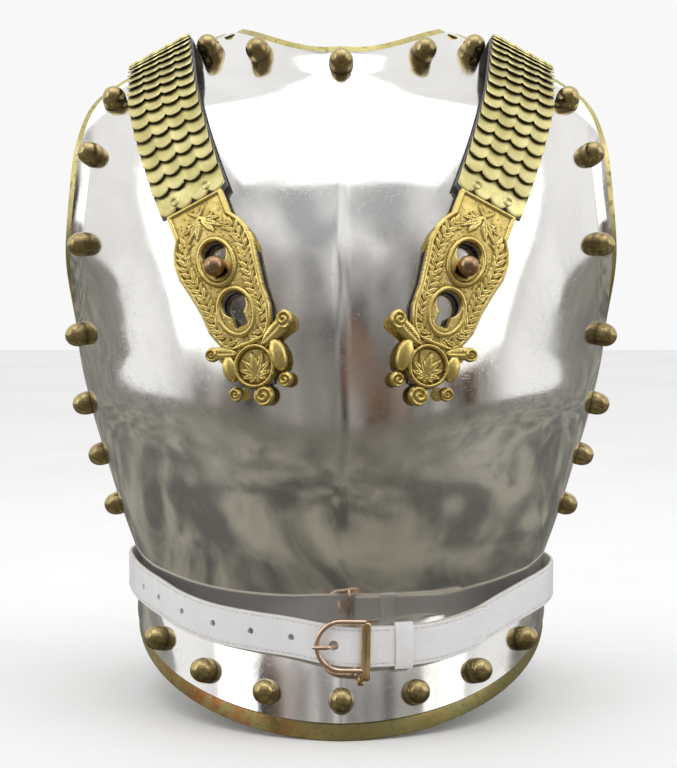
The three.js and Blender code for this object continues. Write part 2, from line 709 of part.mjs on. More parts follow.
// A stretch of overlapping rows: each rises to its scalloped free edge over the row before it.
function scaleStretch(first) {
  const floor = STRAP_LEATHER + SCALE_GAP;
  const edge = scallops();
  const last = edge.length - 1;
  const middle = last / 2;
  const rows = ROWS_PER_STRETCH;
  const points = [];
  const triangles = [];
  const putPair = (v, w) => points.push(onStrap(-SCALE_HALF, v, w), onStrap(SCALE_HALF, v, w)) - 2;
  const putEdge = (v, w) => {
    for (const [u, behind] of edge) points.push(onStrap(u, v + behind, w));
    return points.length - last - 1;
  };
  const fan = (pair, line, up) => {
    for (let k = 0; k < last; k += 1) {
      const corner = pair + (k < middle ? 0 : 1);
      triangles.push(up ? [line + k + 1, line + k, corner] : [line + k, line + k + 1, corner]);
    }
    triangles.push(up ? [pair, pair + 1, line + middle] : [pair + 1, pair, line + middle]);
  };
  const rootAt = (row) => rowStart(first + row) + SCALE_ROOT - (row < rows ? 0 : SCALE_ROOT_GAP);
  const base = [];
  const roots = [];
  for (let row = 0; row <= rows; row += 1) {
    base.push(putPair(rootAt(row), floor));
    roots.push(row ? putPair(rootAt(row), floor + SCALE_SHEET) : base[0]);
  }
  for (let row = 0; row < rows; row += 1) {
    const rise = first + row ? SCALE_RISE : SCALE_RISE / 3;
    const free = putEdge(rowStart(first + row), floor + SCALE_SHEET + rise);
    fan(roots[row], free, true);
    fan(roots[row + 1], free, false);
    const here = base[row];
    const next = base[row + 1];
    triangles.push([here, next, next + 1], [here, next + 1, here + 1]);
    for (const [k, end] of [[0, 0], [1, last]]) {
      const side = [[next + k, roots[row + 1] + k, free + end], [next + k, free + end, roots[row] + k]];
      if (row) side.push([next + k, roots[row] + k, here + k]);
      for (const [a, b, c] of side) triangles.push(k ? [a, b, c] : [a, c, b]);
    }
  }
  const end = base[rows];
  triangles.push([end, roots[rows], roots[rows] + 1], [end, roots[rows] + 1, end + 1]);
  return closed(points, triangles);
}

// A raised leaf: a four-sided blade with a ridge along its middle.
function leaf(u, v, angle, length, width, rise, foot) {
  const cos = Math.cos(angle);
  const sin = Math.sin(angle);
  const place = (a, b, w) => onStrap(u + a * cos - b * sin, v + a * sin + b * cos, w);
  const points = [
    place(0, 0, foot), place(length * 0.45, width / 2, foot), place(length, 0, foot),
    place(length * 0.45, -width / 2, foot), place(length * 0.42, 0, foot + rise),
  ];
  return closed(points, [[0, 2, 1], [0, 3, 2], [0, 1, 4], [1, 2, 4], [2, 3, 4], [3, 0, 4]]);
}

// The cast end plate: keyholes in oval frames, laurel, a star, a round medallion and scrolls.
function castPlate() {
  const floor = STRAP_LEATHER + GAP;
  const face = floor + CAST_BASE;
  const solids = [strapStrip(CAST_OUTLINE, floor, face)];
  const cutters = [];
  for (const v of KEYHOLES) {
    solids.push(strapPrism(ellipse(0, v, 11, 14.4, 12), floor + 0.4, face + 1.3));
    cutters.push(strapPrism(ellipse(0, v, 9, 12.4, 12), face + 0.2, face + 4));
    cutters.push(strapPrism(keyhole(v, 0), floor - 1, face + 4));
  }
  solids.push(strapPrism(ellipse(0, MEDALLION, 13.2, 13.2, 12), floor, face + 1.8));
  cutters.push(strapPrism(ellipse(0, MEDALLION, 10.6, 10.6, 10), face + 0.6, face + 4));
  for (const side of [-1, 1]) {
    const arm = [[side * 8, 32], [side * 23, 38.5], [side * 24, 45], [side * 9, 44]];
    solids.push(strapPrism(arm, floor, face + 0.6));
    solids.push(strapPrism(ellipse(side * 24.6, 42, 4.9, 4.9, 7), floor, face + 2.4));
    solids.push(strapPrism(ellipse(side * 16, 11.8, 4.6, 4.6, 7), floor, face + 1.6));
    solids.push(leaf(side * 14.6, 10.5, Math.PI / 2, 24, 10, 3.2, floor + 0.3));
  }
  solids.push(strapPrism(ellipse(0, 6.5, 6.3, 6.3, 8), floor, face + 2.2));
  const plain = joined(solids, cutters);
  const relief = [];
  for (const turn of [-1.2, -0.6, 0, 0.6, 1.2]) {
    relief.push(leaf(0, MEDALLION - 6, Math.PI / 2 + turn, 14, 4.6, 2, face + 0.4));
  }
  for (const side of [-1, 1]) {
    for (const { u, v, turn } of LAUREL) {
      relief.push(leaf(side * u, v, side > 0 ? turn : Math.PI - turn, 9, 5, 1.6, face - 0.3));
    }
    relief.push(leaf(0, STAR, Math.PI / 2 - side * 0.8, 9, 3.4, 1.5, face - 0.3));
    relief.push(leaf(side, STAR - 2, -Math.PI / 2 + side * 0.9, 16, 5, 1.5, face - 0.3));
  }
  return joined([plain, ...relief]);
}

// The stud on the breast plate: a neck that fits the slot and a ball that holds the plate.
function strapStud() {
  const neck = STRAP_LEATHER + CAST_BASE + STRAP_CLEAR + GAP + 0.6;
  const profile = [[0, 0], [2.7, 0], [2.7, neck]];
  for (let k = 1; k < 5; k += 1) {
    const angle = -0.95 + (k * (Math.PI / 2 + 0.95)) / 5;
    profile.push([STUD_RADIUS * Math.cos(angle), neck + STUD_RADIUS * (0.82 + Math.sin(angle))]);
  }
  profile.push([0, neck + STUD_RADIUS * 1.82]);
  return turned(profile, 9);
}

// The plain brass plate that holds the strap to the back plate, with two rivet heads.
function rearAnchor() {
  const floor = STRAP_LEATHER + SCALE_GAP;
  const low = rowStart(STRETCHES * ROWS_PER_STRETCH) + SCALE_ROOT;
  const middle = (low + STRAP_END) / 2;
  const heads = [-12, 12].map((u) => strapPrism(ellipse(u, middle, 3.4, 3.4, 8), floor + 0.5, floor + 3.2));
  const stations = [{ v: low, half: 21 }, { v: STRAP_END - 0.5, half: 21 }];
  return joined([strapStrip(stations, floor, floor + 1.6), ...heads]);
}

// Adds a piece of the strap over the wearer's left shoulder and, mirrored, one over the right.
function addPair(name, geometry, material, suffix = '') {
  add(`${name}_left${suffix}`, geometry, material());
  add(`${name}_right${suffix}`, mirrored(geometry), material());
}

addPair('strap_leather', strapLeather(), greyLeather);
for (let k = 0; k < STRETCHES; k += 1) {
  addPair('strap_scales', scaleStretch(k * ROWS_PER_STRETCH), scaleBrass, `_${k + 1}`);
}
addPair('strap_end_plate', castPlate(), castBrass);
addPair('strap_anchor', rearAnchor(), castBrass);

for (const [name, way] of [['strap_stud_left', 1], ['strap_stud_right', -1]]) {
  const spot = onStrap(0, KEYHOLES[1] - 4.6, 0);
  const { side, t } = placeAt(BREAST, spot.x, spot.z);
  const normal = plateNormal(BREAST, side * way, t);
  const stud = add(name, strapStud(), rivetBrass());
  stud.position.copy(platePoint(BREAST, side * way, t)).addScaledVector(normal, GAP);
  stud.quaternion.setFromUnitVectors(new THREE.Vector3(0, 0, 1), normal);
}

// ---------------------------------------------------------------- waist belt

// The waist that the belt goes round: distance r from the middle and height z of the belt's
// centre line, by the angle from the front towards the wearer's left.
const WAIST = table(['angle', 'r', 'z'], [
  [0, 138.4, 54.8], [12, 137.1, 53.6], [24, 135.5, 54.3], [36, 133.5, 58.3], [48, 131.8, 65], [60, 132, 69.4],
  [72, 133.6, 71], [84, 137.8, 72], [96, 142.2, 73], [108, 141, 75], [120, 138.4, 77], [144, 136.8, 79],
  [180, 133.4, 80], [216, 137, 80], [240, 139, 80], [252, 140.2, 80], [264, 142, 79], [276, 137, 76.6],
  [288, 133.2, 74], [300, 131.6, 71], [312, 131.4, 65.8], [324, 132.2, 62], [336, 133.4, 60], [348, 135.4, 58.2],
]);

// How far the belt's inner face stands off the waist, from the buckle end round to the tip.
const BELT_LAYERS = table(['angle', 'off'], [
  [4, 1.6], [12, 1.6], [20, 1.6], [32, 0], [335, 0], [345, 0.6], [349, 2], [354, 3.6], [358.5, 5],
  [361.8, 6.1], [364.6, 6.1], [369, 4.3], [373, 4.1], [380, 4.1], [392, 2.5], [401.8, 2.4],
]);

function between(rows, key, at, name) {
  let i = 0;
  while (i < rows.length - 2 && rows[i + 1][key] < at) i += 1;
  const f = (at - rows[i][key]) / (rows[i + 1][key] - rows[i][key]);
  return rows[i][name] + (rows[i + 1][name] - rows[i][name]) * f;
}

function waistAt(angle, name) {
  const n = WAIST.length;
  const turn = THREE.MathUtils.euclideanModulo(angle, 360);
  let i = n - 1;
  while (WAIST[i].angle > turn) i -= 1;
  const start = WAIST[i].angle;
  const end = i === n - 1 ? 360 : WAIST[i + 1].angle;
  const [a, b, c, d] = [i - 1, i, i + 1, i + 2].map((k) => WAIST[(k + n) % n][name]);
  return catmull(a, b, c, d, (turn - start) / (end - start));
}

// A point of the belt: the angle, distance off the waist, and height above its centre line.
function onWaist(angle, off, rise) {
  const turn = THREE.MathUtils.degToRad(angle);
  const r = waistAt(angle, 'r') + off;
  return new THREE.Vector3(Math.sin(turn) * r, WAIST_MIDDLE - Math.cos(turn) * r, waistAt(angle, 'z') + rise);
}

function beltSection(angle, half) {
  const off = between(BELT_LAYERS, 'angle', angle, 'off');
  return [
    onWaist(angle, off, -half), onWaist(angle, off + BELT_LEATHER, -half),
    onWaist(angle, off + BELT_LEATHER, half), onWaist(angle, off, half),
  ];
}

// A square bar along a row of points: size[0] wide, and size[1] high in the direction across.
function swept(points, across, size) {
  const [wide, high] = size;
  return loft(points.map((point, i) => {
    const ahead = points[Math.min(i + 1, points.length - 1)];
    const behind = points[Math.max(i - 1, 0)];
    const side = ahead.clone().sub(behind).cross(across).normalize();
    return [[-1, -1], [1, -1], [1, 1], [-1, 1]].map(([a, b]) => (
      point.clone().addScaledVector(side, (a * wide) / 2).addScaledVector(across, (b * high) / 2)
    ));
  }));
}

// A ring round the upright centre bar of the buckle, between two radii.
function barRing(inner, outer, low, high, sides) {
  const sections = Array.from({ length: sides }, (_, k) => {
    const angle = (2 * Math.PI * k) / sides;
    const at = (r, z) => new THREE.Vector3(BAR_X + r * Math.cos(angle), BAR_Y + r * Math.sin(angle), z);
    return [at(inner, low), at(outer, low), at(outer, high), at(inner, high)];
  });
  return loft(sections, true);
}

function upright(x, y, z, radius, length, sides) {
  const ring = (height) => Array.from({ length: sides }, (_, k) => {
    const angle = (2 * Math.PI * k) / sides;
    return new THREE.Vector3(x + radius * Math.cos(angle), y + radius * Math.sin(angle), height);
  });
  return loft([ring(z - length / 2), ring(z + length / 2)]);
}

// A straight pin through the middle of the belt at an angle round the waist.
function beltPin(angle, radius, sides) {
  const axis = onWaist(angle, 20, 0).sub(onWaist(angle, -3, 0)).normalize();
  const up = new THREE.Vector3(0, 0, 1);
  const across = axis.clone().cross(up);
  const ring = (off) => Array.from({ length: sides }, (_, k) => {
    const turn = (2 * Math.PI * k) / sides;
    const rim = onWaist(angle, off, 0).addScaledVector(across, radius * Math.cos(turn));
    return rim.addScaledVector(up, radius * Math.sin(turn));
  });
  return loft([ring(-3), ring(20)]);
}

function beltStrap() {
  const sections = [];
  for (const { angle } of BELT_LAYERS.slice(0, 3)) sections.push(beltSection(angle, BELT_WIDTH / 2));
  for (let angle = 30; angle < 340; angle += 10) sections.push(beltSection(angle, BELT_WIDTH / 2));
  for (const { angle } of BELT_LAYERS.slice(5, -1)) sections.push(beltSection(angle, BELT_WIDTH / 2));
  for (const [angle, half] of BELT_TIP) sections.push(beltSection(angle, half));
  const half = BELT_WIDTH / 2;
  const ring = barRing(BAR_RADIUS + GAP, BAR_RADIUS + GAP + 1.2, BELT_Z - half, BELT_Z + half, 10);
  const cutters = BELT_HOLES.map((angle, i) => beltPin(angle, i ? BELT_HOLE : PRONG_HOLE, 6));
  const slot = upright(BAR_X - 1.5, BAR_Y, BELT_Z, 5, 4.4, 8);
  return joined([loft(sections), ring], [...cutters, slot]);
}

// The frame of the buckle: a D of wire, a flat bar on its straight side, and a hidden centre bar.
function buckleFrame() {
  const wire = [];
  const half = BUCKLE_HEIGHT / 2;
  wire.push(new THREE.Vector3(BUCKLE_BAR_X, BUCKLE_RIGHT_Y, BELT_Z + half));
  for (let k = 0; k <= 10; k += 1) {
    const angle = Math.PI / 2 + (k * Math.PI) / 10;
    const x = BUCKLE_ARC_X + half * Math.cos(angle);
    const share = (x - BUCKLE_ARC_X + half) / (BUCKLE_BAR_X - BUCKLE_ARC_X + half);
    const y = BUCKLE_LEFT_Y + (BUCKLE_RIGHT_Y - BUCKLE_LEFT_Y) * share;
    wire.push(new THREE.Vector3(x, y, BELT_Z + half * Math.sin(angle)));
  }
  wire.push(new THREE.Vector3(BUCKLE_BAR_X, BUCKLE_RIGHT_Y, BELT_Z - half));
  const front = new THREE.Vector3(0, -1, 0);
  const bar = [-0.5, 0.5].map((way) => (
    new THREE.Vector3(BUCKLE_BAR_X, BUCKLE_RIGHT_Y, BUCKLE_BAR_Z + way * BUCKLE_BAR_LONG)
  ));
  const sideways = new THREE.Vector3(1, 0, 0);
  const hidden = [
    new THREE.Vector3(BAR_X, BUCKLE_RIGHT_Y + 0.5, BELT_Z + half),
    new THREE.Vector3(BAR_X, BAR_Y, BELT_Z + half - 1),
    new THREE.Vector3(BAR_X, BAR_Y, BELT_Z - half + 1),
    new THREE.Vector3(BAR_X, BUCKLE_RIGHT_Y + 0.5, BELT_Z - half),
  ];
  return joined([
    swept(wire, front, [2 * WIRE, 2 * WIRE]),
    swept(bar, front, [BUCKLE_BAR_WIDE, 2 * WIRE]),
    swept(hidden, sideways, [2 * BAR_RADIUS * 0.8, 2 * BAR_RADIUS * 0.8]),
  ]);
}

// Route of the prong's rod, seen from above.
const PRONG = table(['x', 'y'], [
  [5.8, -165.6], [1.5, -166], [-3.7, -166.8], [-6.4, -171], [-9.5, -172.5], [-14.5, -172.9], [-17.2, -172.4],
]);

// The prong turns on the centre bar and rests on the arc of the frame.
function buckleProng() {
  const ring = barRing(BAR_RADIUS + GAP, BAR_RADIUS + GAP + 1.2, BELT_Z - 1.4, BELT_Z + 1.4, 10);
  const up = new THREE.Vector3(0, 0, 1);
  const rod = swept(PRONG.map(({ x, y }) => new THREE.Vector3(x, y, BELT_Z)), up, [1.8, 2.6]);
  const bore = upright(BAR_X, BAR_Y, BELT_Z, BAR_RADIUS + GAP, 8, 10);
  return joined([ring, rod], [bore]);
}

// The keeper: a leather loop round both layers of the belt.
function beltKeeper() {
  const [low, high] = KEEPER_INSIDE;
  const half = BELT_WIDTH / 2 + 0.6;
  const block = (from, to, grow) => loft([from, to].map((angle) => [
    onWaist(angle, low - grow, -half - grow), onWaist(angle, high + grow, -half - grow),
    onWaist(angle, high + grow, half + grow), onWaist(angle, low - grow, half + grow),
  ]));
  const [start, end] = KEEPER_ANGLES;
  return joined([block(start, end, KEEPER_LEATHER)], [block(start - 2, end + 2, 0)]);
}

add('belt_strap', beltStrap(), whiteLeather());
add('belt_keeper', beltKeeper(), whiteLeather());
add('buckle_frame', buckleFrame(), buckleGold());
add('buckle_prong', buckleProng(), buckleGold());

// The frame's origin is under the middle of the whole object.
model.position.y = CENTRE_SHIFT;

export default model;
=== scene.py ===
import math

import bmesh
import bpy
import numpy as np
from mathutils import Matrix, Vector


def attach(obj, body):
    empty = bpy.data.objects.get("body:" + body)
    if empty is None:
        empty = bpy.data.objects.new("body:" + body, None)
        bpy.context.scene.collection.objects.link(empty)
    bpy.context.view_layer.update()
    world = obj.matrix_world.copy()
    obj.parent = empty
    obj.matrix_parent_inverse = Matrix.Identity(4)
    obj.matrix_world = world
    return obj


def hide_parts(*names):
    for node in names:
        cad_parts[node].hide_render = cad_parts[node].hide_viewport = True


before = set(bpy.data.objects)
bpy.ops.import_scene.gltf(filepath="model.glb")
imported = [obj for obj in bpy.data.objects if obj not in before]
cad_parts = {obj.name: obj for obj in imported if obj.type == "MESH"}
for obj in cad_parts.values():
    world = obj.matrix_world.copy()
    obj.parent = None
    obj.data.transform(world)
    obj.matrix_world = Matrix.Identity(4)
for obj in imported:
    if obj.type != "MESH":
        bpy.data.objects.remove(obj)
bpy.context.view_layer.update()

# ---------------------------------------------------------------- breast plate
# One sheet of steel 1.6 mm thick, raised into a low ridge, a tight waist and a flange below
# it. Its margin is turned out at neck and armholes, and it is ground and buffed to a mirror.
# The forms are drawn in millimetres from the side seam, and laid down in metres.

MM = 0.001
SEAM_Y = 23.3                        # the side seam behind the middle of the whole object
STEEL = 1.6
RIDGE_SLOPE = 0.087
MARGIN_WIDTH = 18                    # of the turned-out margin
MARGIN_HEIGHT = 4.5
ARMPIT_ROW = 9                       # the margin fades out below this section
COLUMNS = ("zc", "yc", "pc", "xe", "ye", "ze", "pe", "lean", "flat", "drop")

# Each row is one section, from the centre line to the side edge.
# zc, yc: the centre line. pc: pull of the curve there. xe, ye, ze: the side edge.
# pe, lean: pull and direction of the curve at the edge. flat: share that keeps its height.
# drop: how much lower the curve comes in to the edge.
BREAST = {"facing": 1, "ridge": RIDGE_SLOPE, "rows": np.array([
    (10, -174.5, 76, 138.5, 4, 60, 98, 90, 0, 27),
    (38, -163.5, 75, 137.5, 4, 70, 95, 90, 0, 15),
    (58, -154, 74, 136.8, 4, 78, 92, 90, 0, 10),
    (66, -151, 74, 136.5, 4, 84, 90, 90, 0, 9),
    (74, -152.5, 74, 137.5, 4, 90, 90, 90, 0, 8),
    (88, -158.5, 76, 141, 3, 100, 92, 90, 0, 6),
    (112, -165, 80, 148, 2, 119, 94, 90, 0, 3),
    (150, -171, 87, 158.5, 0, 152, 94, 89, 0, 0),
    (190, -171.5, 93, 169.5, -8, 189, 90, 84, 0, 0),
    (228, -168, 96, 174, -30, 226, 76, 68, 0, 0),
    (262, -161, 97, 172.5, -50, 260, 62, 57, 0, 0),
    (296, -151, 94, 171, -61, 294, 54, 51, 0, 0),
    (330, -136.5, 88, 168, -62, 328, 50, 49, 0, 0),
    (358, -121, 78, 165, -55, 357, 48, 48, 0, 0),
    (380, -107, 66, 158, -42, 381, 46, 48, 0, 2),
    (393, -97, 52, 144, -25, 397, 42, 49, 0, 4),
    (403, -88, 38, 112, -6, 418, 40, 51, 0, 6),
    (412.5, -77, 26, 72, -10, 434, 30, 58, 0.1, 2),
], float)}


def between_rows(rows, t):
    """The section of a plate at height t, 0 at the rim and 1 at the neckline, by column name."""
    last = len(rows) - 1
    place = np.clip(t, 0, 1) * last
    i = np.minimum(place.astype(int), last - 1)
    a, b, c, d = (rows[np.clip(i + k, 0, last)] for k in (-1, 0, 1, 2))
    f = (place - i)[..., None]
    row = b + 0.5 * f * (c - a + f * (2 * a - 5 * b + 4 * c - d + f * (3 * (b - c) + d - a)))
    return dict(zip(COLUMNS, np.moveaxis(row, -1, 0)))


def pulled(a, b, c, d, f):
    g = 1 - f
    return g ** 3 * a + 3 * g * g * f * b + 3 * g * f * f * c + f ** 3 * d


def raised_form(plate, side, t):
    """Points of a plate before its margin is turned out; side runs from -1 to 1."""
    row = between_rows(plate["rows"], t)
    s = np.abs(side)
    lean = np.radians(row["lean"])
    x = pulled(0, row["pc"], row["xe"] - row["pe"] * np.cos(lean), row["xe"], s)
    ridge = row["yc"] + plate["ridge"] * row["pc"]
    y = pulled(row["yc"], ridge, row["ye"] - row["pe"] * np.sin(lean), row["ye"], s)
    rise = np.maximum(0, (s - row["flat"]) / (1 - row["flat"]))
    z = pulled(row["zc"], row["zc"], row["ze"] - row["drop"], row["ze"], rise)
    return np.stack([np.sign(side) * x, y, z], -1)


def unit(vectors):
    return vectors / np.maximum(np.linalg.norm(vectors, axis=-1, keepdims=True), 1e-9)


def facing(plate, form, side, t):
    """The outward direction of a form of the plate."""
    h = 0.004
    left, right = np.maximum(side - h, -1), np.minimum(side + h, 1)
    low, high = np.maximum(t - h, 0), np.minimum(t + h, 1)
    across = form(plate, right, t) - form(plate, left, t)
    up = form(plate, side, high) - form(plate, side, low)
    return plate["facing"] * unit(np.cross(across, up))


def plate_point(plate, side, t):
    """Points of the outer face of a plate, with its margin turned out."""
    side, t = np.broadcast_arrays(np.asarray(side, float), np.asarray(t, float))
    rows = len(plate["rows"]) - 1
    above = np.clip((t * rows - ARMPIT_ROW) / 2, 0, 1)
    to_side = (1 - np.abs(side)) * (240 - 135 * np.maximum(0, 4 * t - 3))
    to_neck = (1 - t) * rows * (14 + 28 * side * side)
    from_side = above * above * (3 - 2 * above) * np.maximum(0, 1 - to_side / MARGIN_WIDTH) ** 1.6
    from_neck = np.maximum(0, 1 - to_neck / MARGIN_WIDTH) ** 1.6
    turn = MARGIN_HEIGHT * np.maximum(from_side, from_neck)
    return raised_form(plate, side, t) + facing(plate, raised_form, side, t) * turn[..., None]


def plate_facing(plate, side, t):
    side, t = np.broadcast_arrays(np.asarray(side, float), np.asarray(t, float))
    return facing(plate, plate_point, side, t)


def plate_grid(plate, columns, pace):
    """Places all over a plate, closer together towards its side edges."""
    heights = [0.0]
    rows = plate["rows"]
    for i, (low, high) in enumerate(zip(rows, rows[1:])):
        edge = np.linalg.norm((high - low)[3:6])
        steps = max(1, round(max(high[0] - low[0], edge) / pace))
        heights += [(i + k / steps) / (len(rows) - 1) for k in range(1, steps + 1)]
    even = np.linspace(-1, 1, columns)
    return np.meshgrid(np.sign(even) * (1 - (1 - np.abs(even)) ** 1.45), heights)


def sheet_metal(outer, inner, roundness=0.5):
    """A closed sheet between two grids of points, with its cut edges rounded."""
    rows, columns = outer.shape[:2]
    index = np.arange(rows * columns).reshape(rows, columns)
    half = rows * columns
    quads = np.stack([index[:-1, :-1], index[:-1, 1:], index[1:, 1:], index[1:, :-1]], -1).reshape(-1, 4)
    border = np.concatenate([index[0, :-1], index[:-1, -1], index[-1, :0:-1], index[:0:-1, 0]])
    inward = np.concatenate([index[1, :-1], index[:-1, -2], index[-2, :0:-1], index[:0:-1, 1]])
    points = np.concatenate([outer.reshape(-1, 3), inner.reshape(-1, 3)])
    thick = np.linalg.norm(points[border] - points[border + half], axis=-1, keepdims=True)
    lip = (points[border] + points[border + half]) / 2
    lip += unit(points[border] - points[inward]) * thick * roundness
    middle = 2 * half + np.arange(len(border))
    ahead, further = np.roll(border, -1), np.roll(middle, -1)
    walls = [np.stack([border, middle, further, ahead], -1)]
    walls.append(np.stack([middle, border + half, ahead + half, further], -1))
    return np.concatenate([points, lip]), np.concatenate([quads, (quads + half)[:, ::-1], *walls]).tolist()


def make_piece(name, form, finish, stands_for=(), marks=None, crease=40):
    """A piece of the cuirass from points in millimetres; marks are values for its finish."""
    points, faces = form
    mesh = bpy.data.meshes.new(name)
    mesh.from_pydata(((points + (0, SEAM_Y, 0)) * MM).tolist(), [], faces)
    work = bmesh.new()
    work.from_mesh(mesh)
    if work.calc_volume(signed=True) < 0:
        bmesh.ops.reverse_faces(work, faces=work.faces)
    work.to_mesh(mesh)
    work.free()
    for mark, values in (marks or {}).items():
        layer = mesh.attributes.new(mark, "FLOAT", "POINT")
        layer.data.foreach_set("value", np.resize(np.ravel(values), len(points)).astype(np.float32))
    mesh.shade_smooth()
    mesh.set_sharp_from_angle(angle=math.radians(crease))
    mesh.materials.append(finish)
    piece = bpy.data.objects.new(name, mesh)
    bpy.context.scene.collection.objects.link(piece)
    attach(piece, "root")
    if stands_for:
        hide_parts(*stands_for)
    return piece


def node(tree, kind, feeds=None, **settings):
    """A shader node; each feed is a value or the socket that it comes from."""
    made = tree.nodes.new("ShaderNode" + kind)
    for setting, value in settings.items():
        setattr(made, setting, value)
    for socket, value in (feeds or {}).items():
        if isinstance(value, bpy.types.NodeSocket):
            tree.links.new(value, made.inputs[socket])
        else:
            made.inputs[socket].default_value = value
    return made


def new_effect(name, takes, gives):
    """A node group with named inputs, (name, kind, value), and outputs, (name, kind)."""
    effect = bpy.data.node_groups.new(name, "ShaderNodeTree")
    for socket, kind, value in takes:
        made = effect.interface.new_socket(socket, in_out="INPUT", socket_type="NodeSocket" + kind)
        made.default_value = value
    for socket, kind in gives:
        effect.interface.new_socket(socket, in_out="OUTPUT", socket_type="NodeSocket" + kind)
    return effect, effect.nodes.new("NodeGroupInput").outputs, effect.nodes.new("NodeGroupOutput").inputs


def use_effect(tree, effect, **feeds):
    """Places an effect in a material with its own values."""
    return node(tree, "Group", {k.replace("_", " "): v for k, v in feeds.items()}, node_tree=effect).outputs


def new_finish(name, metallic, **plain):
    """A material with its Principled shader and the values that are the same all over."""
    finish = bpy.data.materials.new(name)
    finish.use_nodes = True
    shader = finish.node_tree.nodes["Principled BSDF"]
    shader.inputs["Metallic"].default_value = metallic
    for socket, value in plain.items():
        shader.inputs[socket.replace("_", " ")].default_value = value
    return finish, finish.node_tree, shader.inputs


def blended(tree, share, first, second):
    mix = node(tree, "Mix", data_type="RGBA")
    for socket, value in (("Factor", share), (6, first), (7, second)):
        if isinstance(value, bpy.types.NodeSocket):
            tree.links.new(value, mix.inputs[socket])
        else:
            mix.inputs[socket].default_value = value
    return mix.outputs[2]


def ranged(tree, value, low, high, to_low, to_high, smooth=False):
    return node(tree, "MapRange", {"Value": value, "From Min": low, "From Max": high, "To Min": to_low,
                                   "To Max": to_high},
                interpolation_type="SMOOTHSTEP" if smooth else "LINEAR").outputs[0]


def combined(tree, operation, first, second):
    return node(tree, "Math", {0: first, 1: second}, operation=operation).outputs[0]


# Hair lines left by the buffing wheel, in three directions.
buffing_lines, takes, gives = new_effect(
    "buffing lines", [("Fineness", "Float", 900.0), ("Share", "Float", 0.05)], [("Lines", "Float")])
tree = buffing_lines
place = node(tree, "TexCoord").outputs["Object"]
lines = None
threshold = combined(tree, "SUBTRACT", 0.72, takes["Share"])
for turn in ((0.3, 0.2, 0.1), (1.1, 0.5, 0.9), (-0.5, -0.3, 2.0)):
    stretched = node(tree, "Mapping", {"Vector": place, "Rotation": turn, "Scale": (1, 0.03, 1)}).outputs[0]
    noise = node(tree, "TexNoise",
                 {"Vector": stretched, "Scale": takes["Fineness"], "Detail": 1.0}).outputs[0]
    hit = node(tree, "MapRange", {"Value": noise, "From Min": threshold, "From Max": 0.78}).outputs[0]
    lines = hit if lines is None else combined(tree, "MAXIMUM", lines, hit)
tree.links.new(lines, gives["Lines"])

# Soft patches, such as old polish, fingermarks or tarnish.
cloudy_patches, takes, gives = new_effect(
    "cloudy patches", [("Size", "Float", 30.0), ("Low", "Float", 0.4), ("High", "Float", 0.62),
                       ("Wander", "Float", 0.6)], [("Patches", "Float")])
tree = cloudy_patches
place = node(tree, "TexCoord").outputs["Object"]
noise = node(tree, "TexNoise", {"Vector": place, "Scale": takes["Size"], "Detail": 5.0,
                                "Roughness": 0.6, "Distortion": takes["Wander"]}).outputs[0]
soft = node(tree, "MapRange", {"Value": noise, "From Min": takes["Low"], "From Max": takes["High"]},
            interpolation_type="SMOOTHSTEP").outputs[0]
tree.links.new(soft, gives["Patches"])

polished_steel, tree, surface = new_finish("polished steel", 1.0)
patches = use_effect(tree, cloudy_patches, Size=9.0, Low=0.38, High=0.7)["Patches"]
smears = use_effect(tree, cloudy_patches, Size=42.0, Low=0.45, High=0.75, Wander=2.0)["Patches"]
lines = use_effect(tree, buffing_lines, Fineness=700.0, Share=0.07)["Lines"]
fine_lines = use_effect(tree, buffing_lines, Fineness=2400.0, Share=0.1)["Lines"]
tree.links.new(blended(tree, patches, (0.83, 0.82, 0.80, 1), (0.72, 0.71, 0.68, 1)), surface["Base Color"])
haze = combined(tree, "ADD", ranged(tree, patches, 0, 1, 0.055, 0.13), ranged(tree, smears, 0, 1, 0, 0.07))
haze = combined(tree, "ADD", haze, ranged(tree, lines, 0, 1, 0, 0.12))
tree.links.new(haze, surface["Roughness"])
place = node(tree, "TexCoord").outputs["Object"]
ripple = node(tree, "TexNoise", {"Vector": place, "Scale": 16.0, "Detail": 1.0, "Distortion": 0.4}).outputs[0]
rippled = node(tree, "Bump", {"Height": ripple, "Strength": 1.0, "Distance": 0.0004}).outputs[0]
all_lines = combined(tree, "ADD", lines, combined(tree, "MULTIPLY", fine_lines, 0.4))
scratched = node(tree, "Bump", {"Height": all_lines, "Strength": 1.0, "Distance": 0.000006,
                                "Normal": rippled}, invert=True).outputs[0]
tree.links.new(scratched, surface["Normal"])

side, t = plate_grid(BREAST, 131, 2.9)
outer = plate_point(BREAST, side, t)
inner = outer - plate_facing(BREAST, side, t) * STEEL
make_piece("breast_plate_steel", sheet_metal(outer, inner, 0.35), polished_steel,
           ["breast_plate"])

# ---------------------------------------------------------------- edging of the breast plate
# A brass strip 1.2 mm thick lies behind the edge of the steel all round and shows past it,
# most along the lower rim. It has gone olive, with a coppery patch low on one side.

EDGE_BRASS = 1.2
STRIP_LAP = 6
STRIP_SHOW = 4.5
RIM_SHOW = 10
STRIP_AIR = 0.1


def loft(sections, ring=False):
    """A solid through like closed sections; a ring closes on itself."""
    count, n = sections.shape[:2]
    index = np.arange(count * n).reshape(count, n)
    ends = [] if ring else [index[0].tolist(), index[-1, ::-1].tolist()]
    if ring:
        index = np.vstack([index, index[:1]])
    a, b = index[:-1], index[1:]
    quads = np.stack([a, np.roll(a, -1, 1), np.roll(b, -1, 1), b], -1).reshape(-1, 4)
    return sections.reshape(-1, 3), quads.tolist() + ends


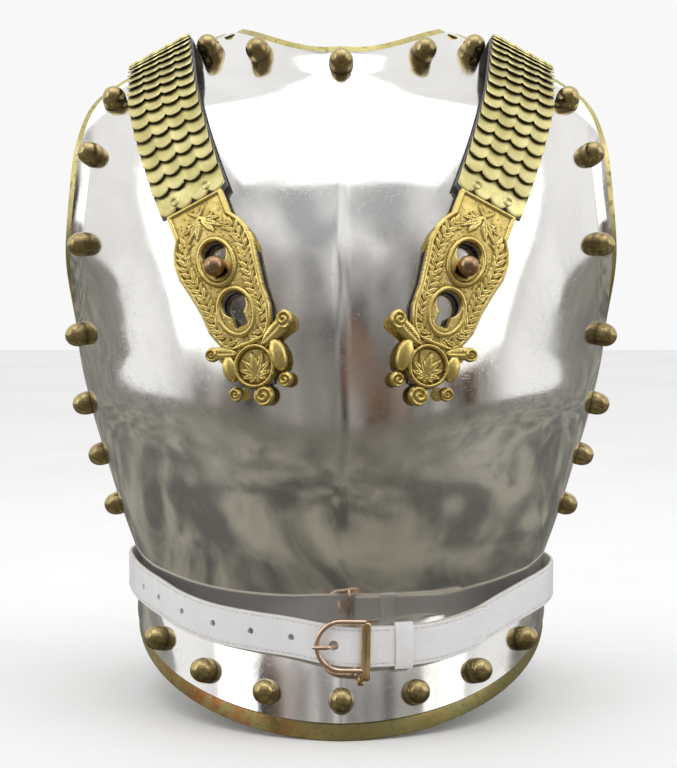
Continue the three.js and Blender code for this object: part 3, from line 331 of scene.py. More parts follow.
def edge_strip(plate):
    """The strip along the border of a plate, mitred round the corners, and flat where it stands."""
    steps = np.linspace(0, 1, 260)
    inch = 0.012
    runs = [
        (2 * steps - 1, 0 * steps, 2 * steps - 1, 0 * steps + inch, RIM_SHOW),
        (0 * steps + 1, steps, 0 * steps + 1 - inch, steps, STRIP_SHOW),
        (1 - 2 * steps, 0 * steps + 1, 1 - 2 * steps, 0 * steps + 1 - inch, STRIP_SHOW),
        (0 * steps - 1, 1 - steps, 0 * steps - 1 + inch, 1 - steps, STRIP_SHOW),
    ]
    stations = []
    for side, t, side_in, t_in, show in runs:
        normal = plate_facing(plate, side, t)
        edge = plate_point(plate, side, t) - normal * STEEL
        within = plate_point(plate, side_in, t_in) - plate_facing(plate, side_in, t_in) * STEEL
        stations.append(np.concatenate([edge, normal, unit(edge - within), edge[:, :1] * 0 + show], 1))
    around = []
    for here, after in zip(stations, stations[1:] + stations[:1]):
        turn = np.linspace(0, 1, 8)[1:-1, None]
        around += [here, here[-1:] * (1 - turn) + after[:1] * turn]
    around = np.concatenate(around)
    edge, normal, out, show = around[:, :3], unit(around[:, 3:6]), unit(around[:, 6:9]), around[:, 9:]
    near, far = STRIP_AIR, STRIP_AIR + EDGE_BRASS
    corners = [(-STRIP_LAP, near, 0), (-0.5, near, 1), (-0.12, near + 0.15, 1), (0, (near + far) / 2, 1),
               (-0.12, far - 0.15, 1), (-0.5, far, 1), (-STRIP_LAP, far, 0)]
    section = [edge + out * (along + show * outside) - normal * depth for along, depth, outside in corners]
    sections = np.stack(section, 1)
    sections[..., 2] = np.maximum(sections[..., 2], 0)
    return loft(sections, ring=True)


edge_brass, tree, surface = new_finish("edging brass", 1.0)
patches = use_effect(tree, cloudy_patches, Size=22.0, Low=0.35, High=0.65)["Patches"]
specks = use_effect(tree, cloudy_patches, Size=240.0, Low=0.52, High=0.66, Wander=0.2)["Patches"]
lines = use_effect(tree, buffing_lines, Fineness=1400.0, Share=0.1)["Lines"]
place = node(tree, "TexCoord").outputs["Object"]
from_patch = node(tree, "VectorMath", {0: place, 1: (-0.075, -0.115, 0.015)},
                  operation="DISTANCE").outputs["Value"]
copper = combined(tree, "MULTIPLY", ranged(tree, from_patch, 0.03, 0.085, 1, 0, True),
                  use_effect(tree, cloudy_patches, Size=70.0, Low=0.36, High=0.6)["Patches"])
colour = blended(tree, patches, (0.66, 0.55, 0.22, 1), (0.42, 0.40, 0.17, 1))
colour = blended(tree, copper, colour, (0.62, 0.27, 0.10, 1))
colour = blended(tree, combined(tree, "MULTIPLY", specks, 0.5), colour, (0.20, 0.15, 0.06, 1))
tree.links.new(colour, surface["Base Color"])
haze = combined(tree, "ADD", ranged(tree, patches, 0, 1, 0.2, 0.34), combined(tree, "MULTIPLY", specks, 0.15))
tree.links.new(haze, surface["Roughness"])
tree.links.new(node(tree, "Bump", {"Height": lines, "Strength": 1.0, "Distance": 0.00001},
                    invert=True).outputs[0], surface["Normal"])

make_piece("breast_edging", edge_strip(BREAST), edge_brass, ["breast_edge_band"])

# ---------------------------------------------------------------- rivets of the breast plate
# Twenty-six domed brass rivets stand in a row inside the edging: three at the neck, eight up
# each side and seven along the rim. Each was cast, turned, and has gone dark with handling.

RIVET_RADIUS = 7.75
RIVET_HEIGHT = 11.5
RIVET_INSET = 11
RIM_INSET = 13
BREAST_RIVETS = {"neck": (-0.54, 0, 0.54), "sides": (122.5, 156, 190.5, 237, 294.5, 353, 391, 430),
                 "rim": (-0.62, -0.405, -0.203, 0, 0.203, 0.405, 0.62)}


def found(value, target, low, high):
    """Where a rising value reaches a target."""
    for _ in range(30):
        middle = (low + high) / 2
        if value(middle) < target:
            low = middle
        else:
            high = middle
    return (low + high) / 2


def set_in(plate, side, t, side_step, t_step, inset):
    """The place on a plate at a distance in from its edge."""
    edge = plate_point(plate, side, t)
    share = found(lambda f: np.linalg.norm(plate_point(plate, side + side_step * f, t + t_step * f) - edge),
                  inset, 0, 1)
    return side + side_step * share, t + t_step * share


def rivet_places(plate, rivets):
    places = [set_in(plate, side, 1, 0, -0.2, RIVET_INSET) for side in rivets["neck"]]
    for way in (-1, 1):
        for z in rivets["sides"]:
            t = found(lambda t: plate_point(plate, 1, t)[2], z, 0, 1)
            places.append(set_in(plate, way, t, -0.2 * way, 0, RIVET_INSET))
    return places + [set_in(plate, side, 0, 0, 0.2, RIM_INSET) for side in rivets["rim"]]


def turned(profile, sides=40):
    """A form turned on a lathe about +Z from a profile of (radius, height)."""
    profile = np.array(profile, float)
    angle = np.arange(sides) * 2 * np.pi / sides
    ring = np.stack([np.cos(angle), np.sin(angle), 0 * angle], -1)
    sections = profile[:, None, :1] * ring
    sections[..., 2] = profile[:, 1:]
    return loft(sections)


def stood(form, point, normal):
    """Stands a turned form on a point, along a normal."""
    across = unit(np.cross(normal, (0.3, 0.2, 1)))
    points = form[0] @ np.stack([across, np.cross(normal, across), normal])
    return points + point, form[1]


def rivet_dome():
    """A rounded cone on a short straight foot, with a small radius where they meet."""
    profile = [(RIVET_RADIUS - 0.6, -0.7), (RIVET_RADIUS, -0.5), (RIVET_RADIUS, 1.2)]
    for angle in np.linspace(0.04, np.pi / 2 - 0.03, 20):
        height = 1.5 + (RIVET_HEIGHT - 1.5) * np.sin(angle) ** 0.9
        profile.append((RIVET_RADIUS * np.cos(angle) ** 0.9, height))
    return turned(profile)


# Brass that has aged: tarnish in patches, grime and painted shade in the hollows, and bright where it is
# rubbed.
aged_brass, takes, gives = new_effect(
    "aged brass",
    [("Bright", "Color", (0.8, 0.68, 0.3, 1)), ("Dull", "Color", (0.5, 0.42, 0.18, 1)),
     ("Dirt", "Color", (0.07, 0.05, 0.02, 1)), ("Hollow", "Float", 0.0), ("Rubbed", "Float", 0.0),
     ("Patch size", "Float", 60.0), ("Tarnish", "Float", 1.0), ("Gloss", "Float", 0.25)],
    [("Colour", "Color"), ("Roughness", "Float"), ("Height", "Float")])
tree = aged_brass
patches = use_effect(tree, cloudy_patches, Size=takes["Patch size"], Low=0.36, High=0.66)["Patches"]
specks = use_effect(tree, cloudy_patches, Size=420.0, Low=0.5, High=0.7, Wander=0.2)["Patches"]
dulled = combined(tree, "MULTIPLY", patches, takes["Tarnish"])
colour = blended(tree, dulled, takes["Bright"], takes["Dull"])
# Painted shade, with grime: the hollow mark darkens the brass.
dirt_and_shade = combined(tree, "MULTIPLY", takes["Hollow"], ranged(tree, specks, 0, 1, 0.8, 1.0))
colour = blended(tree, dirt_and_shade, colour, takes["Dirt"])
rubbed = combined(tree, "MULTIPLY", takes["Rubbed"], 0.7)
colour = blended(tree, rubbed, colour, takes["Bright"])
tree.links.new(colour, gives["Colour"])
haze = combined(tree, "ADD", takes["Gloss"], ranged(tree, dulled, 0, 1, -0.04, 0.1))
haze = combined(tree, "ADD", haze, combined(tree, "MULTIPLY", dirt_and_shade, 0.35))
haze = combined(tree, "ADD", haze, ranged(tree, specks, 0, 1, 0, 0.08))
tree.links.new(haze, gives["Roughness"])
pits = node(tree, "TexNoise", {"Vector": node(tree, "TexCoord").outputs["Object"], "Scale": 1500.0,
                               "Detail": 2.0}).outputs[0]
tree.links.new(combined(tree, "ADD", pits, specks), gives["Height"])


def brass_finish(name, pits, **values):
    """Aged brass with its own colours; its marks of grime with painted shade, and of rubbing, come from the
    piece.
    """
    finish, tree, surface = new_finish(name, 1.0)
    # The hollow mark from the piece is grime and painted shade.
    grime_and_shade = node(tree, "Attribute", attribute_name="grime_and_shade").outputs["Fac"]
    rubbed = node(tree, "Attribute", attribute_name="rubbed").outputs["Fac"]
    aged = use_effect(tree, aged_brass, Hollow=grime_and_shade, Rubbed=rubbed, **values)
    tree.links.new(aged["Colour"], surface["Base Color"])
    tree.links.new(aged["Roughness"], surface["Roughness"])
    relief = node(tree, "Bump", {"Height": aged["Height"], "Strength": 1.0, "Distance": pits}).outputs[0]
    tree.links.new(relief, surface["Normal"])
    return finish


rivet_brass = brass_finish("rivet brass", 0.00002, Bright=(0.52, 0.42, 0.20, 1), Dull=(0.30, 0.22, 0.10, 1),
                           Dirt=(0.05, 0.035, 0.02, 1), Patch_size=90.0, Gloss=0.2)


def make_rivets(plate, rivets, name, nodes):
    """Rivets at their places on a plate; each is darker round its foot, with grime and painted shade."""
    for i, (side, t) in enumerate(rivet_places(plate, rivets), 1):
        normal = plate_facing(plate, side, t)
        form = stood(rivet_dome(), plate_point(plate, side, t) + normal * 0.5, normal)
        height = (form[0] - plate_point(plate, side, t)) @ normal
        # Painted shade, with grime, darkens each dome round its foot; its tip is rubbed bright.
        marks = {"grime_and_shade": np.clip(0.75 - height / 4, 0, 1), "rubbed": np.clip((height - 8) / 5, 0, 0.6)}
        stands_for = [f"breast_rivet_{i:02d}"] if nodes else ()
        make_piece(f"{name}_{i:02d}", form, rivet_brass, stands_for, marks)


make_rivets(BREAST, BREAST_RIVETS, "breast_rivet_dome", True)

# ---------------------------------------------------------------- back plate
# The plainer plate behind: the same steel, edging and rivets, no ridge, and a rim that is
# level over its middle half, where the cuirass stands.

BACK = {"facing": -1, "ridge": 0, "rows": np.array([
    (10, 127, 90, 133.5, -8, 60, 60, -90, 0.5, 20),
    (36, 118, 88, 132.5, -8, 70, 57, -90, 0.3, 10),
    (60, 106, 86, 131.8, -8, 79, 54, -90, 0.1, 8),
    (70, 103, 86, 131.5, -8, 85, 52, -90, 0, 6),
    (80, 104.5, 86, 132.4, -8, 91, 52, -90, 0, 5),
    (96, 109, 88, 136, -9, 101, 54, -90, 0, 3),
    (124, 116, 92, 144, -10, 124, 58, -90, 0, 0),
    (158, 123, 97, 154.2, -12, 158, 64, -90, 0, 0),
    (192, 128, 102, 163, -20, 192, 70, -93, 0, 0),
    (228, 131, 106, 171, -18, 228, 66, -92, 0, 0),
    (262, 132, 106, 171.5, 4, 262, 58, -88, 0, 0),
    (296, 130, 102, 168, 28, 296, 54, -80, 0, 0),
    (330, 124, 94, 162, 40, 330, 46, -72, 0, 0),
    (358, 115, 84, 154, 42, 358, 40, -64, 0, 0),
    (378, 106, 66, 141, 36, 386, 38, -58, 0, 2),
    (390, 100, 48, 112, 42, 400, 34, -52, 0, 4),
    (401, 93, 34, 78, 54, 406, 26, -46, 0, 2),
], float)}
BACK_RIVETS = {"neck": (-0.5, 0, 0.5), "sides": (256, 300, 344, 386, 405),
               "rim": (-0.7, -0.46, -0.22, 0, 0.22, 0.46, 0.7)}

side, t = plate_grid(BACK, 121, 3.4)
outer = plate_point(BACK, side, t)
inner = outer - plate_facing(BACK, side, t) * STEEL
make_piece("back_plate_steel", sheet_metal(outer, inner, 0.35), polished_steel,
           ["back_plate"])
make_piece("back_edging", edge_strip(BACK), edge_brass, ["back_edge_band"])
make_rivets(BACK, BACK_RIVETS, "back_rivet_dome", False)

# ---------------------------------------------------------------- leather of the shoulder straps
# Each strap is a grey leather strip 3 mm thick that carries the brass. It runs from a stud on
# the breast plate over the shoulder to the back plate, and has two keyholes at its front end.

STRAP_CLEAR = 1.2
STRAP_LEATHER = 3
STRAP_HALF = 23.2
STRAP_END = 413
SCALES_START = 134.4
FIRST_ROW = 13.8
ROW_PITCH = 10.4
ROWS = 25
KEYHOLES = (58.6, 92.2)
STRAP_ON_BREAST = ((43.3, 196.5, 0.4), (51.2, 228, 0.4), (66, 266, 0.4), (80.5, 300, 0.6), (97, 341, 0.9),
                   (109.5, 378, 2.5))
STRAP_OVER = ((115.5, -51, 404, 0.4, -0.47, 0.79), (118.5, -20, 418, 0.46, -0.25, 0.85),
              (120.3, 12, 423.3, 0.47, 0.06, 0.88), (118.5, 41, 416.5, 0.45, 0.38, 0.81),
              (114.8, 62.5, 402.5, 0.44, 0.58, 0.69))
STRAP_ON_BACK = ((107.5, 372, 2.2), (102.5, 348, 0.6), (99, 325, 0.4))
CAST_OUTLINE = np.array([(36.5, 5), (38, 10.4), (40, 14), (42.5, 16.5), (45, 18), (54, 21.1), (68, 21.8),
                         (83, 24.3), (94, 26.6), (103, 26.2), (110, 23.8), (117, 19.5), (134, 19.5)])


def place_at(plate, x, z):
    """The place on a plate with the given x and z."""
    side = t = 0.5
    for _ in range(12):
        t = found(lambda f: plate_point(plate, side, f)[2], z, 0, 1)
        side = found(lambda f: plate_point(plate, f, t)[0], x, 0, 1)
    return np.array(side), np.array(t)


def smooth_course(stops, steps):
    """A curve through its stops that doesn't overshoot between near ones."""
    stops = np.array(stops)
    stops = np.vstack([2 * stops[0] - stops[1], stops, 2 * stops[-1] - stops[-2]])
    course = []
    for at in np.linspace(0, len(stops) - 3, steps + 1):
        i = min(int(at), len(stops) - 4)
        a, b, c, d = stops[i:i + 4]
        e, f, g = (np.linalg.norm(q - p) ** 0.5 for p, q in ((a, b), (b, c), (c, d)))
        start = ((b - a) / e - (c - a) / (e + f) + (c - b) / f) * f
        end = ((c - b) / f - (d - b) / (f + g) + (d - c) / g) * f
        w = at - i
        curve = b + w * (start + w * (-3 * b + 3 * c - 2 * start - end + w * (2 * b - 2 * c + start + end)))
        course.append(curve)
    return np.array(course)


stops, leans = [], []
for plate, stations in ((BREAST, STRAP_ON_BREAST), (None, STRAP_OVER), (BACK, STRAP_ON_BACK)):
    for station in stations:
        if plate is None:
            stops.append(station[:3])
            leans.append(unit(np.array(station[3:])))
        else:
            side, t = place_at(plate, *station[:2])
            leans.append(facing(plate, raised_form, side, t))
            stops.append(plate_point(plate, side, t) + leans[-1] * (STRAP_CLEAR + station[2]))
strap_path = smooth_course(stops, 400)
strap_lean = smooth_course(leans, 400)
strap_ahead = np.gradient(strap_path, axis=0)
strap_along = np.concatenate([[0], np.cumsum(np.linalg.norm(np.diff(strap_path, axis=0), axis=1))])


def on_strap(u, v, w):
    """Carries a place on the flat strap onto the shoulder: u across, v along, w outward."""
    u, v, w = np.broadcast_arrays(*(np.asarray(value, float) for value in (u, v, w)))

    def at(values):
        return np.stack([np.interp(v, strap_along, column) for column in values.T], -1)

    ahead = unit(at(strap_ahead))
    across = unit(np.cross(ahead, at(strap_lean)))
    outward = np.cross(across, ahead)
    short = np.minimum(v, 0)[..., None]
    return at(strap_path) + ahead * short + across * u[..., None] + outward * w[..., None]


def circle(u, v, at_u, at_v, radius):
    return np.hypot(u - at_u, v - at_v) - radius


def keyhole(u, v, at_v, extra=0.0):
    """Negative inside a keyhole: a round opening over a slot for the neck of the stud."""
    slot = np.maximum(np.abs(u) - 3.7 - extra, np.maximum(at_v - 9.2 - extra - v, v - at_v))
    return np.minimum(circle(u, v, 0, at_v + 4.9, 7.6 + extra), slot)


def cut_out(outline, top, bottom, reach_u, from_v, to_v, step, settle=8):
    """A plate cut along an outline, negative inside, from the strap's flat plan.

    Grid corners near the outline are drawn onto it. Returns the form and a mark of painted shade, with grime,
    for its hollows."""
    u, v = np.meshgrid(np.arange(-reach_u, reach_u + step, step), np.arange(from_v, to_v + step, step))
    inside = outline(u, v)
    near = np.abs(inside) < 0.72 * step
    for _ in range(3):
        slope_u = (outline(u + 0.02, v) - outline(u - 0.02, v)) / 0.04
        slope_v = (outline(u, v + 0.02) - outline(u, v - 0.02)) / 0.04
        move = np.where(near, outline(u, v) / np.maximum(slope_u ** 2 + slope_v ** 2, 0.3), 0)
        u, v = u - move * slope_u, v - move * slope_v
    kept = near | (inside < 0)
    index = np.arange(u.size).reshape(u.shape)
    corners = np.stack([index[:-1, :-1], index[:-1, 1:], index[1:, 1:], index[1:, :-1]], -1).reshape(-1, 4)
    fits = kept.ravel()[corners]
    faces = corners[fits.all(1)].tolist()
    faces += [[int(c) for c, good in zip(cell, row) if good]
              for cell, row in zip(corners[fits.sum(1) == 3], fits[fits.sum(1) == 3])]
    flat = np.stack([u.ravel(), v.ravel()], -1)

    def worth(face):
        a, b, c, d = (flat[face[k % len(face)]] for k in (0, 1, 2, 3))
        area = abs(np.cross(b - a, c - a)) + (abs(np.cross(c - a, d - a)) if len(face) == 4 else 0)
        middle = flat[face].mean(0)
        return area > 0.08 * step * step and outline(middle[0], middle[1]) < 0.02 * step

    on_rim = near.ravel()
    faces = [face for face in faces if not on_rim[face].any() or worth(face)]
    # Painted shade, with grime: darker where the top lies below its blurred height, in hollows and at the
    # foot of raised parts.
    height = np.where(kept, top(u, v), bottom)
    level = height.copy()
    for _ in range(settle):
        level = (level + sum(np.roll(level, k, axis) for k in (-1, 1) for axis in (0, 1))) / 5
    grime_and_shade = np.clip(0.25 + 1.3 * (level - height), 0, 1)
    used = np.unique(np.concatenate([np.ravel(face) for face in faces]))
    renumbered = np.full(u.size, -1)
    renumbered[used] = np.arange(len(used))
    faces = [renumbered[face].tolist() for face in faces]
    edges = {(a, b) for face in faces for a, b in zip(face, face[1:] + face[:1])}
    rim = [(a, b) for a, b in edges if (b, a) not in edges]
    under = len(used)
    walls = [[b, a, a + under, b + under] for a, b in rim]
    back = [[corner + under for corner in reversed(face)] for face in faces]
    flat_u, flat_v = u.ravel()[used], v.ravel()[used]
    points = np.concatenate([on_strap(flat_u, flat_v, height.ravel()[used]),
                             on_strap(flat_u, flat_v, bottom)])
    return (points, faces + walls + back), np.tile(grime_and_shade.ravel()[used], 2)


def on_both_shoulders(name, form, finish, stands_for, marks=None):
    """Makes a piece for the wearer's left shoulder and its mirror image for the right."""
    for hand, way in (("left", 1), ("right", -1)):
        mirrored = (form[0] * (way, 1, 1), form[1])
        nodes = [f"{stem}_{hand}{tail}" for stem, tail in stands_for]
        make_piece(f"{name}_{hand}", mirrored, finish, nodes, marks)


def leather_outline(u, v):
    half = np.interp(v, np.append([12, 26], CAST_OUTLINE[:, 0]), np.append([8, 9], CAST_OUTLINE[:, 1] - 0.6))
    half = np.where(v > SCALES_START, STRAP_HALF, half)
    strip = np.maximum(np.abs(u) - half, np.maximum(12 - v, v - STRAP_END))
    return np.maximum(strip, -np.minimum(keyhole(u, v, KEYHOLES[0], 0.4), keyhole(u, v, KEYHOLES[1], 0.4)))


def leather_top(u, v):
    return STRAP_LEATHER - 0.7 * (1 - np.clip(-leather_outline(u, v) / 1.4, 0, 1)) ** 2


# Pebbled grain with fine creases, for all leather.
leather_grain, takes, gives = new_effect(
    "leather grain", [("Pebbles", "Float", 900.0), ("Creases", "Float", 180.0)],
    [("Height", "Float"), ("Rubbed", "Float")])
tree = leather_grain
place = node(tree, "TexCoord").outputs["Object"]
pebbles = node(tree, "TexVoronoi", {"Vector": place, "Scale": takes["Pebbles"]},
               feature="SMOOTH_F1").outputs[0]
creases = node(tree, "TexNoise", {"Vector": place, "Scale": takes["Creases"], "Detail": 6.0,
                                  "Roughness": 0.7}).outputs[0]
tree.links.new(combined(tree, "ADD", combined(tree, "MULTIPLY", pebbles, -0.6), creases), gives["Height"])
tree.links.new(node(tree, "MapRange", {"Value": creases, "From Min": 0.5, "From Max": 0.68}).outputs[0],
               gives["Rubbed"])

grey_leather, tree, surface = new_finish("grey leather", 0.0)
grain = use_effect(tree, leather_grain, Pebbles=1100.0, Creases=220.0)
patches = use_effect(tree, cloudy_patches, Size=50.0)["Patches"]
colour = blended(tree, patches, (0.115, 0.105, 0.11, 1), (0.19, 0.175, 0.18, 1))
colour = blended(tree, combined(tree, "MULTIPLY", grain["Rubbed"], 0.6), colour, (0.34, 0.31, 0.30, 1))
tree.links.new(colour, surface["Base Color"])
tree.links.new(ranged(tree, grain["Rubbed"], 0, 1, 0.62, 0.85), surface["Roughness"])
tree.links.new(node(tree, "Bump",
                    {"Height": grain["Height"], "Strength": 1.0, "Distance": 0.00015}).outputs[0],
               surface["Normal"])

form = cut_out(leather_outline, leather_top, 0.2, 24, 11, 414, 1.5)[0]
on_both_shoulders("strap_strip", form, grey_leather, [("strap_leather", "")])

# ---------------------------------------------------------------- scales of the shoulder straps
# Twenty-five brass plates lie like roof tiles along each strap. Each is stamped with four
# scallops, lips up at its free edge over the one before, and is riveted through at its root.

SCALE_HALF = 22.6
SCALLOPS = 4
SCALLOP_DEPTH = 3.4
SCALE_SHEET = 0.8
SCALE_RISE = 2.3
SCALE_ROOT = 3.7
ROWS_PER_STRETCH = 5


def row_start(row):
    return SCALES_START + (FIRST_ROW + (row - 1) * ROW_PITCH if row else 0)


def scale_row(row):
    """One stamped plate of scales: its form, its mark of painted shade with patina, and its rubbed mark."""
    columns, lengths = (105, 40) if row == 0 else (73, 13)
    share = np.linspace(0, 1, lengths) ** (1 if row == 0 else 1.5)
    u, a = np.meshgrid(np.linspace(-SCALE_HALF, SCALE_HALF, columns), share)
    across = (u / SCALE_HALF + 1) / 2 * SCALLOPS
    lobe = 2 * (across - np.minimum(np.floor(across), SCALLOPS - 1)) - 1
    behind = SCALLOP_DEPTH * np.abs(lobe) ** 2.3
    length = row_start(row + 1) - row_start(row) + SCALE_ROOT
    v = row_start(row) + behind + a * (length - behind)
    rise = SCALE_RISE * (0.35 if row == 0 else 1)
    bulge = 0.55 * (1 - lobe ** 2) * np.exp(-3.5 * a)
    lip = -0.35 * np.exp(-a / 0.03)
    w = STRAP_LEATHER + 0.5 + SCALE_SHEET + rise * (1 - a) ** 1.25 + bulge + lip
    if row == 0:
        for at_u in (-10.8, 11.2):
            off = np.hypot(u - at_u, v - SCALES_START - 6.8)
            w = w + 0.7 * np.exp(-((off - 2) / 0.6) ** 2) + 0.3 * np.exp(-(off / 0.9) ** 2)
    form = sheet_metal(on_strap(u, v, w), on_strap(u, v, w - SCALE_SHEET), 0.45)
    past = (v - row_start(row)) / (row_start(row + 1) - row_start(row))
    # Painted shade, with patina: darker where the next row's free edge overhangs, in a line behind the lip,
    # and all over the underside.
    grime_and_shade = np.clip((past - 0.86) / 0.3, 0, 1) + 0.35 * np.exp(-((a - 0.07) / 0.03) ** 2)
    rubbed = np.exp(-a / 0.05)
    spare = len(form[0]) - 2 * u.size
    tips = np.full(spare, 1.0)
    return form, np.concatenate([grime_and_shade.ravel(), np.ones(u.size), 0 * tips]), np.concatenate(
        [rubbed.ravel(), np.zeros(u.size), tips])


scale_brass = brass_finish("scale brass", 0.00003, Bright=(0.80, 0.72, 0.34, 1), Dull=(0.60, 0.54, 0.22, 1),
                           Dirt=(0.06, 0.045, 0.02, 1), Patch_size=45.0, Gloss=0.3)


def gathered(forms):
    """Several forms as one."""
    points, faces, count = [], [], 0
    for form_points, form_faces in forms:
        points.append(form_points)
        faces += [[corner + count for corner in face] for face in form_faces]
        count += len(form_points)
    return np.concatenate(points), faces


for stretch in range(ROWS // ROWS_PER_STRETCH):
    rows = [scale_row(stretch * ROWS_PER_STRETCH + k) for k in range(ROWS_PER_STRETCH)]
    marks = {"grime_and_shade": np.concatenate([row[1] for row in rows]),
             "rubbed": np.concatenate([row[2] for row in rows])}
    on_both_shoulders(f"scales_{stretch + 1}", gathered([row[0] for row in rows]), scale_brass,
                      [("strap_scales", f"_{stretch + 1}")], marks)

# ---------------------------------------------------------------- cast end plates of the straps
# A brass casting ends each strap: two keyholes in oval frames, a laurel wreath, a star, a
# palmette in a round medallion, and rolled scrolls. Grime and painted shade darken the hollows of the relief.

CAST_BASE = 2.4
MEDALLION = 24
STAR = 123.5
EARS = ((-25.9, 42.7, 5.3), (23.4, 40.3, 4.7))
FOOT_SCROLLS = ((-16.4, 12.2, 4.6), (-1.4, 6, 6.3), (15.4, 10.8, 4.3))
LOBES = ((-15.6, 26, 5.2, 9), (15.2, 27, 4.8, 8.6))
LAUREL_STEM = np.array([(0.5, 40.6), (6, 41.6), (10.8, 44.8), (13.9, 50), (15.4, 57), (15.4, 65), (15.4, 73),
                        (16.8, 81), (18.6, 89), (19.2, 97), (18, 105), (14, 112)])


def body_outline(u, v):
    half = np.interp(v, CAST_OUTLINE[:, 0], CAST_OUTLINE[:, 1])
    return np.maximum((np.abs(u) - half) * 0.93, np.maximum(36.5 - v, v - CAST_OUTLINE[-1, 0]))


def oval(u, v, at_u, at_v, radius_u, radius_v):
    share = np.hypot((u - at_u) / radius_u, (v - at_v) / radius_v)
    return (share - 1) * min(radius_u, radius_v)


def cast_outline(u, v):
    shape = np.minimum(body_outline(u, v), circle(u, v, 0, MEDALLION, 13.2))
    for at_u, at_v, radius in EARS + FOOT_SCROLLS:
        shape = np.minimum(shape, circle(u, v, at_u, at_v, radius))
    for at_u, at_v, radius_u, radius_v in LOBES:
        shape = np.minimum(shape, oval(u, v, at_u, at_v, radius_u, radius_v))
    for way in (-1, 1):
        along = np.clip((way * u - 9) / 14.5, 0, 1)
        shape = np.minimum(shape, np.hypot(u - way * (9 + 14.5 * along), v - 35.5 - 5.5 * along) - 4.4)
    return np.maximum(shape, -np.minimum(keyhole(u, v, KEYHOLES[0]), keyhole(u, v, KEYHOLES[1])))


def leaf(u, v, root_u, root_v, turn, length, width, rise, veins=0.0):
    """Height of a leaf laid on the plate, with a groove along its middle."""
    along = (u - root_u) * math.cos(turn) + (v - root_v) * math.sin(turn)
    aside = (v - root_v) * math.cos(turn) - (u - root_u) * math.sin(turn)
    share = np.clip(along / length, 0, 1)
    half = width / 2 * np.sin(np.pi * share ** 0.8) ** 0.75
    within = np.clip(1 - np.abs(aside) / np.maximum(half, 0.01), 0, 1)
    groove = 0.45 * rise * np.exp(-(aside / (0.11 * width)) ** 2)
    fine = veins * np.cos(2 * np.pi * (along - np.abs(aside)) / 1.5)
    return np.where(within > 0, rise * np.sqrt(within) * (0.75 + 0.25 * share) - (groove + fine) * within, 0)


def beading(distance, width, rise):
    """Height of a raised bead by the distance from its middle."""
    return rise * np.sqrt(np.clip(1 - (2 * distance / width) ** 2, 0, 1))


def scroll(u, v, at_u, at_v, radius, rise, way):
    """Height of a rolled scroll: a spiral bead that climbs to a button."""
    off = np.hypot(u - at_u, v - at_v) / radius
    angle = np.arctan2(v - at_v, way * (u - at_u))
    spiral = 0.5 + 0.5 * np.cos(2 * np.pi * 1.9 * off - angle)
    round_off = np.sqrt(np.clip(1 - off ** 4, 0, 1))
    button = 0.9 * np.exp(-(off / 0.26) ** 2)
    return np.where(off < 1, rise * round_off * (0.5 + 0.5 * spiral) + button, 0)


def cast_relief(u, v):
    """Height of the casting's face over the leather."""
    ground = np.full(np.shape(u), CAST_BASE)
    in_body = -body_outline(u, v)
    parts = [beading(in_body - 1.5, 2.8, 1.2)]
    for at_v in KEYHOLES:
        off = oval(u, v, 0, at_v, 11.2, 14.6)
        parts.append(beading(off, 2.6, 1.7))
        ground = np.where(off < 0, CAST_BASE + 0.1, ground)
    steps = np.concatenate([[0], np.cumsum(np.linalg.norm(np.diff(LAUREL_STEM, axis=0), axis=1))])
    for way in (-1, 1):
        for k, at in enumerate(np.arange(1.5, steps[-1], 4.1)):
            root = [np.interp(at, steps, LAUREL_STEM[:, c]) for c in (0, 1)]
            tip = [np.interp(at + 1, steps, LAUREL_STEM[:, c]) for c in (0, 1)]
            course = math.atan2(tip[1] - root[1], way * (tip[0] - root[0]))
            for lean in (-0.62, 0.62):
                parts.append(leaf(u, v, way * root[0], root[1], course + lean, 7.4, 3.5, 1.7))
            berry = circle(u, v, way * root[0], root[1], 0) / 1.1
            parts.append(1.5 * np.sqrt(np.clip(1 - berry ** 2, 0, 1)) * (k % 3 == 1))
        for turn, length in ((0.45, 13), (0.85, 14), (1.25, 12), (1.6, 9)):
            parts.append(leaf(u, v, way * 0.8, STAR - 2.5, -math.pi / 2 + way * turn, length, 4.4, 1.7, 0.16))
        for turn in (0.75, 2.35):
            parts.append(leaf(u, v, 0, STAR, math.pi / 2 - way * turn, 8.8, 2.9, 1.5))
        arm = leaf(u, v, way * 25, 42, math.pi + 0.42 if way > 0 else -0.42, 19, 8.5, 2.2, 0.28)
        parts.append(arm)
    for at_u, at_v, radius_u, radius_v in LOBES:
        dome = np.clip(1 - (oval(u, v, at_u, at_v, radius_u, radius_v) / min(radius_u, radius_v) + 1) ** 2, 0,
                       1)
        parts.append(2.6 * np.sqrt(dome))
    for at_u, at_v, radius in EARS + FOOT_SCROLLS:
        parts.append(scroll(u, v, at_u, at_v, radius, 2.6, 1 if at_u < 0 else -1))
    off = circle(u, v, 0, MEDALLION, 0)
    relief = np.maximum.reduce(parts)
    relief = np.where(off < 12.6, beading(off - 11.7, 2.4, 2.2), relief)
    for turn, length, width in ((0, 14, 4.6), (0.5, 13.6, 4.4), (1.0, 11.6, 4.2), (1.5, 9.2, 4),
                                (2.15, 6, 3.2)):
        for way in (-1, 1):
            petal = leaf(u, v, way * 0.4, MEDALLION - 5.6, math.pi / 2 - way * turn, length, width, 1.9, 0.12)
            relief = np.where(off < 10.8, np.maximum(relief, petal), relief)
    relief = np.maximum(relief, leaf(u, v, 0, MEDALLION - 10, math.pi / 2, 7, 3.6, 1.6, 0.2) * (off < 11))
    ground = np.where(off < 10.8, CAST_BASE - 0.7, ground)
    rolled = 0.9 * (1 - np.clip(-cast_outline(u, v) / 0.9, 0, 1)) ** 2
    return STRAP_LEATHER + 0.3 + ground + relief - rolled


